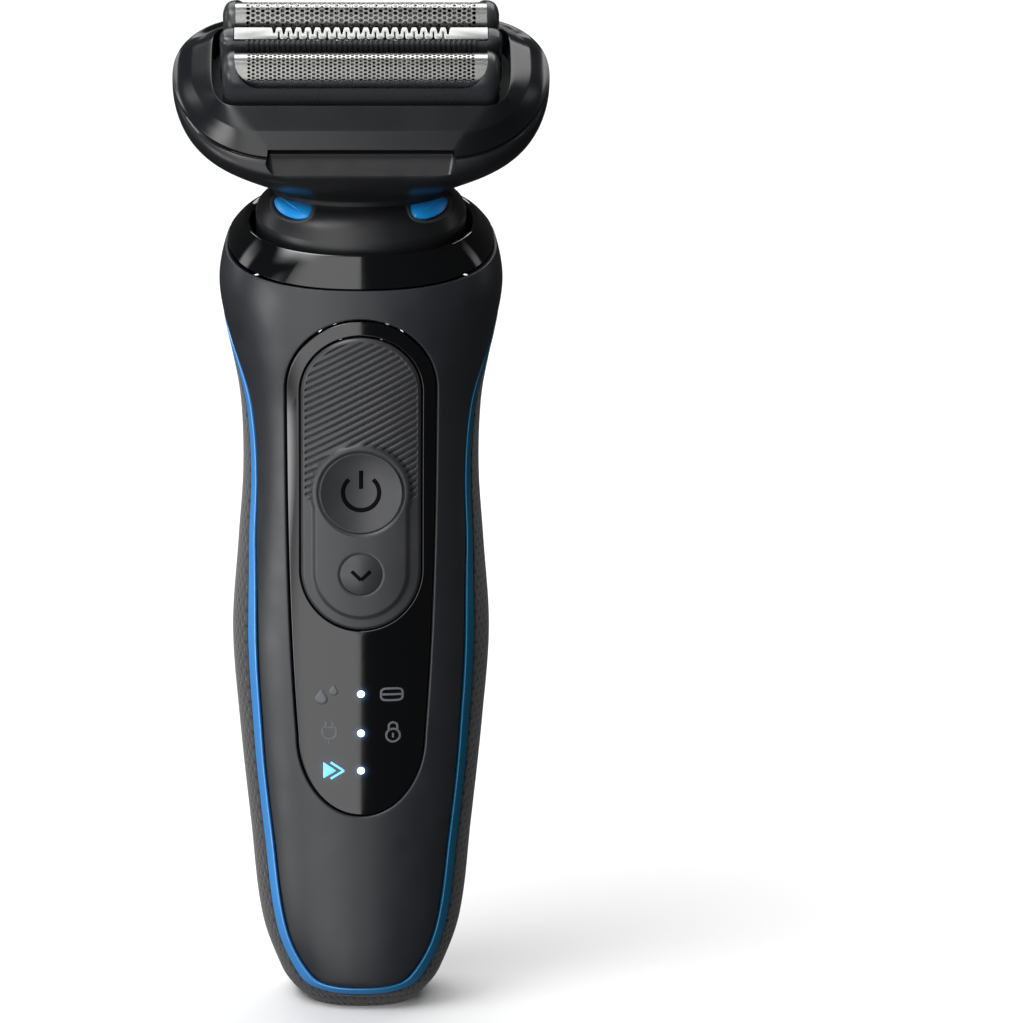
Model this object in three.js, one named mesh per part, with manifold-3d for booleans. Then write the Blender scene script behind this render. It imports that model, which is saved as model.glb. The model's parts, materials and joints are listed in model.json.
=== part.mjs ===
// Electric foil shaver: a hand-held three-element shaver that stands upright on its base.
//
// Frame: millimetres, +Z up along the handle, the front (controls) faces -Y, and the origin is the
// middle of the whole shaver on the flat of its base. The handle's own axis runs a little behind it.
// The neck leans forward by NECK_TILT and the shaving head by HEAD_TILT.
// Touching pieces keep a GAP between them, and pieces that move keep their travel as well.

import * as THREE from "three";
import { mergeVertices } from "three/addons/utils/BufferGeometryUtils.js";
import Module from "manifold-3d";

const wasm = await Module();
wasm.setup();

// ---------------------------------------------------------------- driving dimensions (mm)

const GAP = 0.3;
const WALL = 1.8; // handle shells
const AROUND = 32; // points round each handle section
const SECTION_POWER = 2.35; // squareness of the handle's oval sections

// The handle's sections: height, half width, front depth and back depth.
const HANDLE_SECTIONS = [
  [0, 9.0, 8.0, 8.0],
  [2, 11.2, 9.5, 9.5],
  [5, 13.2, 11.3, 11.2],
  [14, 16.3, 13.1, 12.9],
  [30, 18.1, 14.2, 14.2],
  [48, 19.9, 15.2, 15.2],
  [63, 20.9, 15.8, 15.2],
  [78, 19.9, 15.7, 14.2],
  [90, 19.1, 15.6, 13.8],
  [102, 19.5, 16.1, 14.8],
  [112, 21.3, 17.3, 16.6],
  [121, 22.8, 18.0, 18.0],
  [128, 21.6, 17.5, 17.7],
  [134, 18.8, 16.0, 16.2],
];

// Outlines across the neck and head: half width, half width of the straight stretch in the middle,
// front and back depth, and the squareness of the front and back corners.
const outline = (half, straight, front, back, power, backPower = power) => ({
  half,
  straight,
  front,
  back,
  power,
  backPower,
});

const COLLAR_Z = 127.8; // where the collar plane crosses the handle's axis
const RIM_Z = 131.2; // where the collar's inner rim does
const RIM_TILT = rad(10.5);
const COLLAR_EDGE = outline(21.3, 0, 18.2, 17.2, 2.35);
const COLLAR_RIM = outline(18.6, 0, 15.9, 15.6, 2.2);

const NECK_TILT = rad(14); // collar plane, drive pin and the way the head pulls off
const NECK_TOP = new THREE.Vector3(0, -1.5, 135.8); // middle of the head's seat on the neck
const NECK_BASE = outline(16.9, 0, 14.4, 14.2, 2.2);
const NECK_SHOULDER = outline(16.2, 0, 13.4, 13.1, 2.15);
const SEAT = outline(14.4, 0, 9.6, 10.4, 2.1); // where the head meets the neck
const SEAT_TILT = rad(6);

const HEAD_ORIGIN = new THREE.Vector3(0, -6, 160.3); // between the foils, on their arch centres
const HEAD_TILT = rad(33);
const HEAD_SEAM_DROP = 9; // from the head's origin down to the seam between its two covers
const HEAD_SEAM = outline(30.2, 13, 16.8, 15.4, 2, 2.3);
const HEAD_RIDGE = outline(27.1, 16, 14.6, 13.2, 2, 3);
const HEAD_MOUTH = outline(23.7, 19, 10.6, 10.9, 3.2);

const ELEMENT_PITCH = 5.8; // from the middle trimmer to each foil
const FOIL_RADIUS = 2.7;
const FOIL_THICKNESS = 0.3;
const FOIL_HALF = 20.1;
const ELEMENT_HALF = 22.4;
const BLADE_TRAVEL = 0.8; // each way along X
const PIN_RADIUS = 1.7; // drive pin

const KEYPAD = { radius: 9.6, top: 105.6, bottom: 76.3, raise: 0.9 };
const POWER = { z: 90, radius: 6.7 };
const MODE = { z: 76, radius: 3.4 };
const PANEL = { radius: 12, top: 105.9, foot: 48, footHalf: 10.2, footDrop: 13.1 };

const BOARD = { half: 9, front: -10.4, thickness: 1.2, low: 33, high: 110.5 };
const BATTERY = { radius: 7, y: 1.5, low: 13, high: 62 };
const MOTOR = { radius: 8, y: 2.2, low: 68, high: 94 };
const ECCENTRIC = { throw: 0.9, pin: 0.9 };
const SOCKET = { halfX: 4.6, halfY: 3.1, depth: 8, wall: 1.1 };

// ---------------------------------------------------------------- looks

const finish = (color, roughness, metalness = 0) => ({ color, roughness, metalness });
const LOOKS = {
  shell: finish(0x34363a, 0.45),
  grip: finish(0x3c3d40, 0.8),
  accent: finish(0x1f7fe0, 0.35),
  gloss: finish(0x08090b, 0.08),
  keypad: finish(0x4a4b4e, 0.6),
  head: finish(0x1d1f22, 0.4),
  release: finish(0x0d63c4, 0.15),
  steel: finish(0xc9c9c6, 0.25, 1),
  brass: finish(0xb5933f, 0.3, 1),
  inner: finish(0x2a2c30, 0.6),
  board: finish(0x14532d, 0.5),
  cell: finish(0x3a6ea5, 0.4),
  rubber: finish(0x18181a, 0.9),
  clear: finish(0xe8eef5, 0.2),
};

// ---------------------------------------------------------------- geometry helpers

function rad(degrees) {
  return (degrees * Math.PI) / 180;
}

// A closed geometry as a manifold-3d solid.
function solid(geometry) {
  const loose = geometry.index ? geometry.toNonIndexed() : geometry;
  const bare = new THREE.BufferGeometry();
  bare.setAttribute("position", loose.getAttribute("position"));
  const merged = mergeVertices(bare, 1e-4);
  return new wasm.Manifold(
    new wasm.Mesh({
      numProp: 3,
      vertProperties: merged.attributes.position.array,
      triVerts: new Uint32Array(merged.index.array),
    }),
  );
}

// A solid's surface as a geometry, with flat-shaded faces.
function surface(body) {
  const mesh = body.getMesh();
  const geometry = new THREE.BufferGeometry();
  geometry.setAttribute("position", new THREE.BufferAttribute(mesh.vertProperties, 3));
  geometry.setIndex(new THREE.BufferAttribute(mesh.triVerts, 1));
  const flat = geometry.toNonIndexed();
  flat.computeVertexNormals();
  return flat;
}

const cut = (body, ...tools) => tools.reduce((left, tool) => left.subtract(tool), body);
const join = (...bodies) => bodies.reduce((all, body) => all.add(body));
const overlap = (...bodies) => bodies.reduce((all, body) => all.intersect(body));

// A skin over rings of equally many points. Open ends get caps; a looped skin returns to its first ring.
function skin(rings, looped = false) {
  const count = rings[0].length;
  const points = rings.flat();
  const faces = [];
  const last = looped ? rings.length : rings.length - 1;
  for (let i = 0; i < last; i++) {
    const low = i * count;
    const high = ((i + 1) % rings.length) * count;
    for (let j = 0; j < count; j++) {
      const k = (j + 1) % count;
      faces.push(low + j, low + k, high + k, low + j, high + k, high + j);
    }
  }
  if (!looped) {
    const middle = (ring) =>
      ring.reduce((sum, p) => sum.add(p), new THREE.Vector3()).divideScalar(ring.length);
    const foot = points.push(middle(rings[0])) - 1;
    const top = points.push(middle(rings.at(-1))) - 1;
    const start = (rings.length - 1) * count;
    for (let j = 0; j < count; j++) {
      const k = (j + 1) % count;
      faces.push(foot, k, j, top, start + j, start + k);
    }
  }
  const geometry = new THREE.BufferGeometry().setFromPoints(points);
  geometry.setIndex(faces);
  return geometry;
}

// A frame leaning forward by tilt, with its origin at a point.
function leaning(origin, tilt) {
  return new THREE.Matrix4().makeRotationX(tilt).setPosition(origin);
}

// The ring of an outline at a height in a frame. lift may raise its points by their place.
function oval(shape, frame, height = 0, { lift = () => 0, count = AROUND } = {}) {
  const ring = [];
  for (let i = 0; i < count; i++) {
    const turn = (2 * Math.PI * (i + 0.5)) / count;
    const c = Math.cos(turn);
    const s = Math.sin(turn);
    const bend = 2 / (s < 0 ? shape.power : shape.backPower);
    const depth = s < 0 ? shape.front : shape.back;
    const x = Math.sign(c) * (shape.straight + (shape.half - shape.straight) * Math.abs(c) ** bend);
    const y = Math.sign(s) * depth * Math.abs(s) ** bend;
    ring.push(new THREE.Vector3(x, y, height + lift(x, y)).applyMatrix4(frame));
  }
  return ring;
}

function grown(shape, by) {
  return { ...shape, half: shape.half + by, front: shape.front + by, back: shape.back + by };
}

const lerp = (from, to, share) => from + (to - from) * share;

function blended(from, to, share) {
  const pairs = Object.keys(from).map((key) => [key, lerp(from[key], to[key], share)]);
  return Object.fromEntries(pairs);
}

// A closed form through the rings of outlines, each given with its frame and height.
function formOf(levels, count = AROUND) {
  return solid(skin(levels.map(([shape, frame, height]) => oval(shape, frame, height, { count }))));
}

// A shape in X and Z, extruded along Y from near to far.
function alongY(shape, near, far, curveSegments = 12) {
  const depth = far - near;
  const made = new THREE.ExtrudeGeometry(shape, { depth, bevelEnabled: false, curveSegments });
  return solid(made.rotateX(Math.PI / 2).translate(0, far, 0));
}

// A shape in Y and Z, extruded along X from low to high.
function alongX(shape, low, high, curveSegments = 12) {
  const depth = high - low;
  const made = new THREE.ExtrudeGeometry(shape, { depth, bevelEnabled: false, curveSegments });
  made.applyMatrix4(new THREE.Matrix4().set(0, 0, 1, 0, 1, 0, 0, 0, 0, 1, 0, 0, 0, 0, 0, 1));
  return solid(made.translate(low, 0, 0));
}

const polygon = (points) => new THREE.Shape(points.map(([x, y]) => new THREE.Vector2(x, y)));

// A box between two corners.
function block(low, high) {
  const size = high.map((value, i) => value - low[i]);
  const middle = high.map((value, i) => (value + low[i]) / 2);
  return solid(new THREE.BoxGeometry(...size).translate(...middle));
}

// A round bar with its axis along Z, standing on low.
function barZ(radius, low, high, x = 0, y = 0, sides = 24) {
  const made = new THREE.CylinderGeometry(radius, radius, high - low, sides);
  return solid(made.rotateX(Math.PI / 2).translate(x, y, (low + high) / 2));
}

// A round bar with its axis along Y.
function barY(radius, near, far, x, z, sides = 24) {
  const made = new THREE.CylinderGeometry(radius, radius, far - near, sides);
  return solid(made.translate(x, (near + far) / 2, z));
}

// A profile of radius against Y, listed from its near end on the axis to its far end, turned round Y.
function turned(profile, x, z, sides = 32) {
  const points = profile.map(([radius, y]) => new THREE.Vector2(radius, y));
  return solid(new THREE.LatheGeometry(points, sides).translate(x, 0, z));
}

function slottedX(body, slots) {
  return cut(body, ...slots.map(([low, high]) => block(low, high)));
}

// A round-wire compression spring standing on Z.
function coil(radius, wire, low, high, turns, x, y) {
  class Helix extends THREE.Curve {
    getPoint(t, target = new THREE.Vector3()) {
      const turn = 2 * Math.PI * turns * t;
      return target.set(x + radius * Math.cos(turn), y + radius * Math.sin(turn), lerp(low, high, t));
    }
  }
  const section = new THREE.Shape().absarc(0, 0, wire, 0, 2 * Math.PI);
  const steps = turns * 8;
  return new THREE.ExtrudeGeometry(section, { steps, extrudePath: new Helix(), curveSegments: 3 });
}

// ---------------------------------------------------------------- the handle's form

// Width and depths at a height, on a smooth curve through the sections.
function handleAt(z) {
  const rows = HANDLE_SECTIONS;
  const at = THREE.MathUtils.clamp(z, rows[0][0], rows.at(-1)[0]);
  const i = Math.max(rows.findIndex((row) => row[0] >= at) - 1, 0);
  const [from, to] = [rows[i], rows[i + 1]];
  const before = rows[i - 1] ?? from;
  const after = rows[i + 2] ?? to;
  const step = to[0] - from[0];
  const t = (at - from[0]) / step;
  return [1, 2, 3].map((k) => {
    const leave = ((to[k] - before[k]) / (to[0] - before[0])) * step;
    const arrive = ((after[k] - from[k]) / (after[0] - from[0])) * step;
    const [t2, t3] = [t * t, t * t * t];
    return (
      (2 * t3 - 3 * t2 + 1) * from[k] +
      (t3 - 2 * t2 + t) * leave +
      (3 * t2 - 2 * t3) * to[k] +
      (t3 - t2) * arrive
    );
  });
}

const frontAt = (z) => -handleAt(z)[1];
const backAt = (z) => handleAt(z)[2];

const upright = new THREE.Matrix4();

// The handle's closed form, grown or shrunk by an offset, between two heights.
function handleForm(offset, low, high, count = AROUND) {
  const heights = [2, 5, 10, 18, 30, 46, 63, 76, 88, 98, 106, 113, 120, 127];
  const inside = heights.filter((z) => z > low + 0.5 && z < high - 0.5);
  const rings = [low, ...inside, high].map((z) => {
    const [half, front, back] = handleAt(z);
    const section = outline(half, 0, front, back, SECTION_POWER);
    return oval(grown(section, offset), upright, z, { count });
  });
  return solid(skin(rings));
}

const collarFrame = leaning(new THREE.Vector3(0, 0, COLLAR_Z), NECK_TILT);
const rimFrame = leaning(new THREE.Vector3(0, 0, RIM_Z), RIM_TILT);
const neckFrame = leaning(NECK_TOP, NECK_TILT);
const seatFrame = leaning(NECK_TOP, SEAT_TILT);
const everything = 60; // half size of a cutting block that passes all of the part

// Half spaces on the two sides of a frame's plane.
function under(frame, height = 0) {
  const made = new THREE.BoxGeometry(2 * everything, 2 * everything, 4 * everything);
  return solid(made.translate(0, 0, height - 2 * everything).applyMatrix4(frame));
}

// Side view of the parting line between the front shell and the accent strip: depth and height.
const PARTING = [
  [-14.0, 3.6],
  [-10.8, 4.2],
  [-10.0, 8],
  [-9.9, 20],
  [-10.1, 40],
  [-10.8, 64],
  [-9.3, 82],
  [-8.8, 96],
  [-7.9, 105],
  [-5.3, 111.5],
  [0, 116],
  [8, 119.5],
  [22, 122],
];
const STRIP_WIDTH = 2;

// The parting line moved towards the rear shell.
function partingLine(offset) {
  const line = new THREE.SplineCurve(PARTING.map(([y, z]) => new THREE.Vector2(y, z)));
  const steps = 26;
  return Array.from({ length: steps + 1 }, (_, i) => {
    const tangent = line.getTangent(i / steps);
    const point = line.getPoint(i / steps);
    return [point.x + tangent.y * offset, point.y - tangent.x * offset];
  });
}

function frontSide(offset) {
  const line = partingLine(offset);
  return alongX(polygon([...line, [everything, 150], [-everything, 150], [-everything, line[0][1]]]), -30, 30);
}

function rearSide(offset) {
  const line = partingLine(offset);
  const rest = [[everything, line.at(-1)[1]], [everything, -10], [-everything, -10], [-everything, line[0][1]]];
  return alongX(polygon([...line, ...rest].reverse()), -30, 30);
}

// ---------------------------------------------------------------- outlines on the front

function panelOutline(grow) {
  const half = PANEL.radius + grow;
  const foot = PANEL.footHalf + grow;
  const shape = new THREE.Shape();
  shape.absarc(0, PANEL.top, half, 0, Math.PI);
  shape.quadraticCurveTo(-half, 72, -foot, PANEL.foot);
  shape.absellipse(0, PANEL.foot, foot, PANEL.footDrop + grow, Math.PI, 2 * Math.PI);
  shape.quadraticCurveTo(half, 72, half, PANEL.top);
  return shape;
}

function keypadOutline(grow) {
  const shape = new THREE.Shape();
  shape.absarc(0, KEYPAD.top, KEYPAD.radius + grow, 0, Math.PI);
  shape.absarc(0, KEYPAD.bottom, KEYPAD.radius + grow, Math.PI, 2 * Math.PI);
  return shape;
}

// ---------------------------------------------------------------- handle: housings

function handleShell() {
  const outer = handleForm(0, 0, 134);
  const inner = handleForm(-WALL, 2.6, 134, 24);
  return overlap(cut(outer, inner), under(collarFrame));
}

function frontShell(shell) {
  const window = alongY(panelOutline(GAP), -30, 0);
  return cut(overlap(shell, frontSide(0)), window);
}

function rearShell(shell) {
  const socketHole = block(
    [-SOCKET.halfX - SOCKET.wall - GAP, -SOCKET.halfY - SOCKET.wall - GAP, -1],
    [SOCKET.halfX + SOCKET.wall + GAP, SOCKET.halfY + SOCKET.wall + GAP, 4],
  );
  const contacts = [-5, 5].map((x) => barY(1.6 + GAP, 5, 30, x, 108, 12));
  return cut(overlap(shell, rearSide(STRIP_WIDTH)), socketHole, ...contacts);
}

function accentStrip() {
  const band = overlap(rearSide(GAP), frontSide(STRIP_WIDTH - GAP));
  const skinDeep = cut(handleForm(0.1, 0, 134), handleForm(-2, -2, 136));
  return overlap(skinDeep, band, under(collarFrame));
}

function collarRing() {
  const bore = grown(COLLAR_RIM, -0.8);
  const rings = [
    oval(bore, collarFrame, GAP),
    oval(COLLAR_EDGE, collarFrame, GAP),
    oval(blended(COLLAR_EDGE, COLLAR_RIM, 0.35), collarFrame, 2),
    oval(COLLAR_RIM, rimFrame),
    oval(bore, rimFrame, -0.6),
  ];
  return solid(skin(rings, true));
}

// ---------------------------------------------------------------- handle: neck

const SPIGOT = outline(9, 0, 7.2, 7.2, 2.2);
const SPIGOT_HEIGHT = 3.5;

// The neck's closed form, grown by an offset, with its crown lowered by a drop.
function neckForm(offset, drop, count) {
  const shoulder = leaning(new THREE.Vector3(0, -0.5, 133.6 - drop / 2), rad(9));
  const crown = leaning(NECK_TOP.clone().add(new THREE.Vector3(0, 0, -drop)), SEAT_TILT);
  const levels = [
    [NECK_BASE, collarFrame, -3],
    [NECK_BASE, rimFrame, 0.3 - drop / 4],
    [NECK_SHOULDER, shoulder, 0],
    [SEAT, crown, 0],
  ];
  return formOf(
    levels.map(([shape, frame, height]) => [grown(shape, offset), frame, height]),
    count,
  );
}

// The middle of the right release button's face, and where it faces.
const RELEASE_FACE = new THREE.Vector3(11.9, -8.3, 135);
const RELEASE_AIM = new THREE.Vector3(0.72, -0.58, 0.38).normalize();

const RELEASE_SIZE = { long: 4.2, short: 1.8 }; // half lengths of the button's oval
const RELEASE_SPIN = rad(-32); // of the oval's long axis about the button's own axis

// An oval plug along a release button's axis, from one distance behind its face to another.
function releasePlug(side, grow, from, to) {
  const mirror = new THREE.Vector3(side, 1, 1);
  const aim = RELEASE_AIM.clone().multiply(mirror);
  const { long, short } = RELEASE_SIZE;
  const plug = new THREE.CylinderGeometry(1, 1, to - from, 24);
  plug.scale(long + grow, 1, short + grow).translate(0, (from + to) / 2, 0);
  plug.rotateY(side * RELEASE_SPIN);
  plug.applyQuaternion(new THREE.Quaternion().setFromUnitVectors(new THREE.Vector3(0, 1, 0), aim));
  return solid(plug.translate(...RELEASE_FACE.clone().multiply(mirror)));
}

function neckCap() {
  const open = grown(NECK_BASE, -1.6);
  const pinSlot = outline(3.4, 0, 2.6, 2.6, 2.5);
  const pocket = grown(SPIGOT, -1.5);
  const hollow = neckForm(-1.6, 1.6, 24);
  const mouth = formOf([[open, collarFrame, -4], [open, collarFrame, -2.5]], 24);
  const spigot = formOf([[SPIGOT, neckFrame, -1.2], [SPIGOT, neckFrame, SPIGOT_HEIGHT]], 24);
  const well = formOf([[pocket, neckFrame, 0.6], [pocket, neckFrame, 9]], 24);
  const pinHole = formOf([[pinSlot, neckFrame, -6], [pinSlot, neckFrame, 6]], 16);
  const screwHoles = [-1, 1].map((side) => neckBar(1.0, -6, 3, 5.6 * side, 0, 10));
  const pods = [-1, 1].map((side) => releasePlug(side, 1, -4.5, -0.6));
  const bores = [-1, 1].map((side) => releasePlug(side, GAP, -9, 4));
  const shell = join(cut(neckForm(0, 0), hollow, mouth), spigot, ...pods);
  return cut(shell, well, pinHole, ...screwHoles, ...bores);
}

// A round bar along the neck's own axis.
function neckBar(radius, low, high, x = 0, y = 0, sides = 16) {
  const made = new THREE.CylinderGeometry(radius, radius, high - low, sides);
  made.rotateX(Math.PI / 2).translate(x, y, (low + high) / 2);
  return solid(made.applyMatrix4(neckFrame));
}

function neckSeal() {
  const slot = outline(2.9, 0, 2.1, 2.1, 2.5);
  const lip = outline(4.2, 0, 4.6, 4.6, 2.2);
  const crest = outline(3.6, 0, 3.4, 3.4, 2.2);
  const levels = [[slot, 0.9], [lip, 0.9], [lip, 1.7], [crest, 2.6], [slot, 2.9]];
  return solid(skin(levels.map(([shape, height]) => oval(shape, neckFrame, height, { count: 16 })), true));
}

function releaseButton(side) {
  return join(releasePlug(side, 0, -3.4, -0.4), releasePlug(side, -0.5, -0.5, 0.1));
}

function neckScrew(side) {
  const seat = 0.9;
  return join(
    neckBar(1.3, seat, seat + 1, 5.6 * side, 0, 12),
    neckBar(0.7, seat - 5.4, seat + 0.1, 5.6 * side, 0, 12),
  );
}

// ---------------------------------------------------------------- handle: front controls

function controlPanel() {
  const layer = cut(handleForm(-0.05, 20, 125), handleForm(-1.7, 19, 126, 24));
  const window = alongY(keypadOutline(GAP), -30, 0);
  return cut(overlap(layer, alongY(panelOutline(0), -30, 0)), window);
}

function keypad() {
  const layer = cut(handleForm(KEYPAD.raise, 60, 120), handleForm(-1.5, 59, 121, 24));
  const holes = [POWER, MODE].map(({ z, radius }) => barY(radius + GAP, -30, 0, 0, z, 32));
  return cut(overlap(layer, alongY(keypadOutline(0), -30, 0)), ...holes);
}

// A push button with a stem that ends just short of its switch. Its face is dished, or domed if dish
// is below zero.
function pushButton({ z, radius }, dish) {
  const face = frontAt(z) - 0.7;
  const stem = 1.5;
  return turned(
    [
      [0, face + dish],
      [radius * 0.55, face + dish * 0.72],
      [radius * 0.9, face + 0.1],
      [radius, face + 0.3],
      [radius, face + 2.2],
      [stem, face + 2.2],
      [stem, -12.7],
      [0, -12.7],
    ],
    0,
    z,
  );
}

const SWITCH_FACE = -12.1;

function tactSwitch(z) {
  const foot = BOARD.front - GAP;
  return join(block([-2.6, -11.5, z - 2.6], [2.6, foot, z + 2.6]), barY(1.4, SWITCH_FACE, -11.2, 0, z, 16));
}

// ---------------------------------------------------------------- handle: electronics

const BOARD_SCREWS = [105, 37];
const LAMPS = [
  ["battery_led_top", 0, 56.2],
  ["battery_led_middle", 0, 49.6],
  ["battery_led_bottom", 0, 43.2],
  ["charge_led", -4.6, 43.2],
];

function circuitBoard() {
  const board = block([-BOARD.half, BOARD.front, BOARD.low], [BOARD.half, BOARD.front + BOARD.thickness, BOARD.high]);
  return cut(board, ...BOARD_SCREWS.map((z) => barY(1.2, -20, 0, 0, z, 12)));
}

function boardScrew(z) {
  return join(barY(1.7, -12.0, BOARD.front - GAP, 0, z, 12), barY(0.9, -11, -6.5, 0, z, 12));
}

function lightGuide() {
  const plate = block([-5.6, -12.5, 41.2], [1.3, -12.1, 58.2]);
  const posts = LAMPS.map(([, x, z]) => barY(0.6, frontAt(z) + 2 + 0.02 * x * x, -12.4, x, z, 12));
  return join(plate, ...posts);
}

function chassis() {
  const { half } = BOARD;
  const back = -7.5;
  const plate = block([-half - 1.5, -8.9, 31], [half + 1.5, back, 112]);
  const rails = [-1, 1].map((side) =>
    block([Math.min(side * 7.5, side * 8.9), back - 0.1, 13], [Math.max(side * 7.5, side * 8.9), 4, 64]),
  );
  const foot = block([-8.9, back - 0.1, 10.8], [8.9, 4, 12.4]);
  const shelf = block([-8.9, back - 0.1, 63], [8.9, 9, 65.2]);
  const link = block([-7, -8.9, 10.8], [7, back, 32]);
  const whole = join(plate, ...rails, foot, shelf, link);
  return cut(whole, ...BOARD_SCREWS.map((z) => barY(1.2, -20, 0, 0, z, 12)));
}

function batteryCell() {
  const { radius, y, low, high } = BATTERY;
  return join(barZ(radius, low, high - 1.2, 0, y, 28), barZ(2.4, high - 1.3, high - 0.4, 0, y, 16));
}

// Nickel strip from one end of the cell round to the board's side.
function batteryTab(z, towards) {
  const { y } = BATTERY;
  const flat = block([-2, y - 6, z], [2, y + 3, z + 0.3]);
  const leg = block([-2, y - 7.9, Math.min(z, z + towards)], [2, y - 7.6, Math.max(z + 0.3, z + towards)]);
  return join(flat, leg, block([-2, y - 7.9, z], [2, y - 5.9, z + 0.3]));
}

// ---------------------------------------------------------------- handle: drive

function motorCan() {
  const { radius, y, low, high } = MOTOR;
  const can = join(barZ(radius, low, high, 0, y), barZ(3, high - 0.1, high + 1.2, 0, y, 16));
  return cut(can, barZ(radius - 0.8, low - 1, high - 1.2, 0, y), barZ(1.3, high - 2, high + 3, 0, y, 16));
}

function motorEndcap() {
  const { radius, y, low } = MOTOR;
  const cap = join(barZ(radius, low - 1.9, low - GAP, 0, y), barZ(radius - 1.1, low - 0.4, low + 1.5, 0, y));
  return cut(cap, barZ(1.3, low - 4, low + 4, 0, y, 16));
}

function motorMount() {
  const { radius, y, high } = MOTOR;
  return cut(barZ(radius + 1.4, high - 8, high - 4, 0, y), barZ(radius + GAP, high - 9, high - 3, 0, y));
}

function rotor() {
  const { y, low, high } = MOTOR;
  const core = cut(
    barZ(6.2, low + 3, high - 4, 0, y),
    ...[0, 1, 2].map((i) => {
      const turn = (2 * Math.PI * i) / 3;
      return barZ(1.3, low + 2, high - 3, 6 * Math.cos(turn), y + 6 * Math.sin(turn), 10);
    }),
  );
  return join(core, barZ(1, low - 1.2, high + 4.3, 0, y, 16));
}

function eccentric() {
  const { y, high } = MOTOR;
  const hub = cut(barZ(4, high + 2.5, high + 5.6, 0, y), barZ(1 + GAP, high + 2, high + 4.6, 0, y, 16));
  return join(hub, barZ(ECCENTRIC.pin, high + 5.5, high + 9.2, ECCENTRIC.throw, y, 14));
}

const BRIDGE_LOW = MOTOR.high + 6.3;
const PIN_FOOT = -28; // along the neck's axis, from its seat
const PIN_TOP = 9;

function driveBridge() {
  const { y } = MOTOR;
  const reach = ECCENTRIC.pin + ECCENTRIC.throw + GAP;
  const plate = block([-11, y - 4, BRIDGE_LOW], [11, y + 5, BRIDGE_LOW + 2.5]);
  const window = block([-reach - BLADE_TRAVEL, y - reach, 90], [reach + BLADE_TRAVEL, y + reach, BRIDGE_LOW + 4]);
  const column = block([-2.4, y + 2.3, BRIDGE_LOW + 0.2], [2.4, y + 5, 111]);
  return join(cut(plate, window), column, neckBar(PIN_RADIUS, PIN_FOOT, PIN_TOP, 0, 0, 16));
}

function bridgeSpring(side) {
  const near = 11 + BLADE_TRAVEL + 0.4;
  const [low, high] = side < 0 ? [-near - 0.4, -near] : [near, near + 0.4];
  return block([low, MOTOR.y - 2.5, 70], [high, MOTOR.y + 2.5, BRIDGE_LOW + 2.5]);
}

// ---------------------------------------------------------------- handle: charging

function chargingSocket() {
  const { halfX, halfY, depth, wall } = SOCKET;
  const cup = block([-halfX - wall, -halfY - wall, 0.3], [halfX + wall, halfY + wall, depth + 1.6]);
  const recess = block([-halfX, -halfY, -1], [halfX, halfY, depth]);
  return cut(cup, recess, ...[-2, 2].map((x) => barZ(0.8 + GAP, 1, 12, x, 0, 12)));
}

// ---------------------------------------------------------------- shaving head: housings

const headFrame = leaning(HEAD_ORIGIN, HEAD_TILT);

// The seam's ends sweep up, and the upper cover dips at the back.
const seamLift = (x, half = HEAD_SEAM.half) => 2 * (Math.abs(x) / half) ** 6;
const backDip = (y) => -3 * THREE.MathUtils.smoothstep(y, 4, 12);

// The lower cover's form: a rounded sweep from the neck's seat out and up to the wide seam.
// above adds a straight stretch over the seam.
function bowlForm(offset, above, count) {
  const top = new THREE.Vector3(0, 0, -HEAD_SEAM_DROP).applyMatrix4(headFrame);
  const spreads = [0, 0.22, 0.42, 0.6, 0.76, 0.88, 0.96, 1];
  const rings = spreads.map((spread) => {
    const fall = (1 - spread) ** (1 / 2.3);
    const frame = leaning(top.clone().lerp(NECK_TOP, fall), lerp(HEAD_TILT, SEAT_TILT, fall ** 0.7));
    const lift = (x) => spread ** 3 * seamLift(x);
    return oval(grown(blended(SEAT, HEAD_SEAM, spread), offset), frame, 0, { lift, count });
  });
  if (above) {
    const height = above - HEAD_SEAM_DROP;
    rings.push(oval(grown(HEAD_SEAM, offset), headFrame, height, { lift: (x) => seamLift(x), count }));
  }
  return solid(skin(rings));
}

// A finger grip across the front, cut into both covers at their seam.
function gripCut(depth) {
  const seam = new THREE.Vector3(0, -HEAD_SEAM.front, -HEAD_SEAM_DROP).applyMatrix4(headFrame);
  const half = [[13, -3.1], [15.2, 0.3], [14.2, 1.5]];
  const right = half.map(([x, z]) => [x, seam.z + z]);
  const left = right.map(([x, z]) => [-x, z]).reverse();
  return alongY(polygon([...right, ...left]), seam.y - 5, seam.y + depth);
}

function headHousing() {
  const seam = new THREE.Vector3(0, -HEAD_SEAM.front, -HEAD_SEAM_DROP).applyMatrix4(headFrame);
  const backing = block([-17, seam.y - 5, seam.z - 5], [17, seam.y + 2.6, seam.z + 5]);
  const shell = cut(bowlForm(0), cut(bowlForm(-1.6, 3, 24), backing));
  const throat = grown(SPIGOT, 0.5);
  const opening = formOf([[throat, neckFrame, -4], [throat, neckFrame, 8]], 24);
  const notches = [-1, 1].map((side) => releasePlug(side, 1.4, -9, 9));
  return cut(shell, opening, gripCut(1.2), under(seatFrame, 0.1), ...notches);
}

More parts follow.
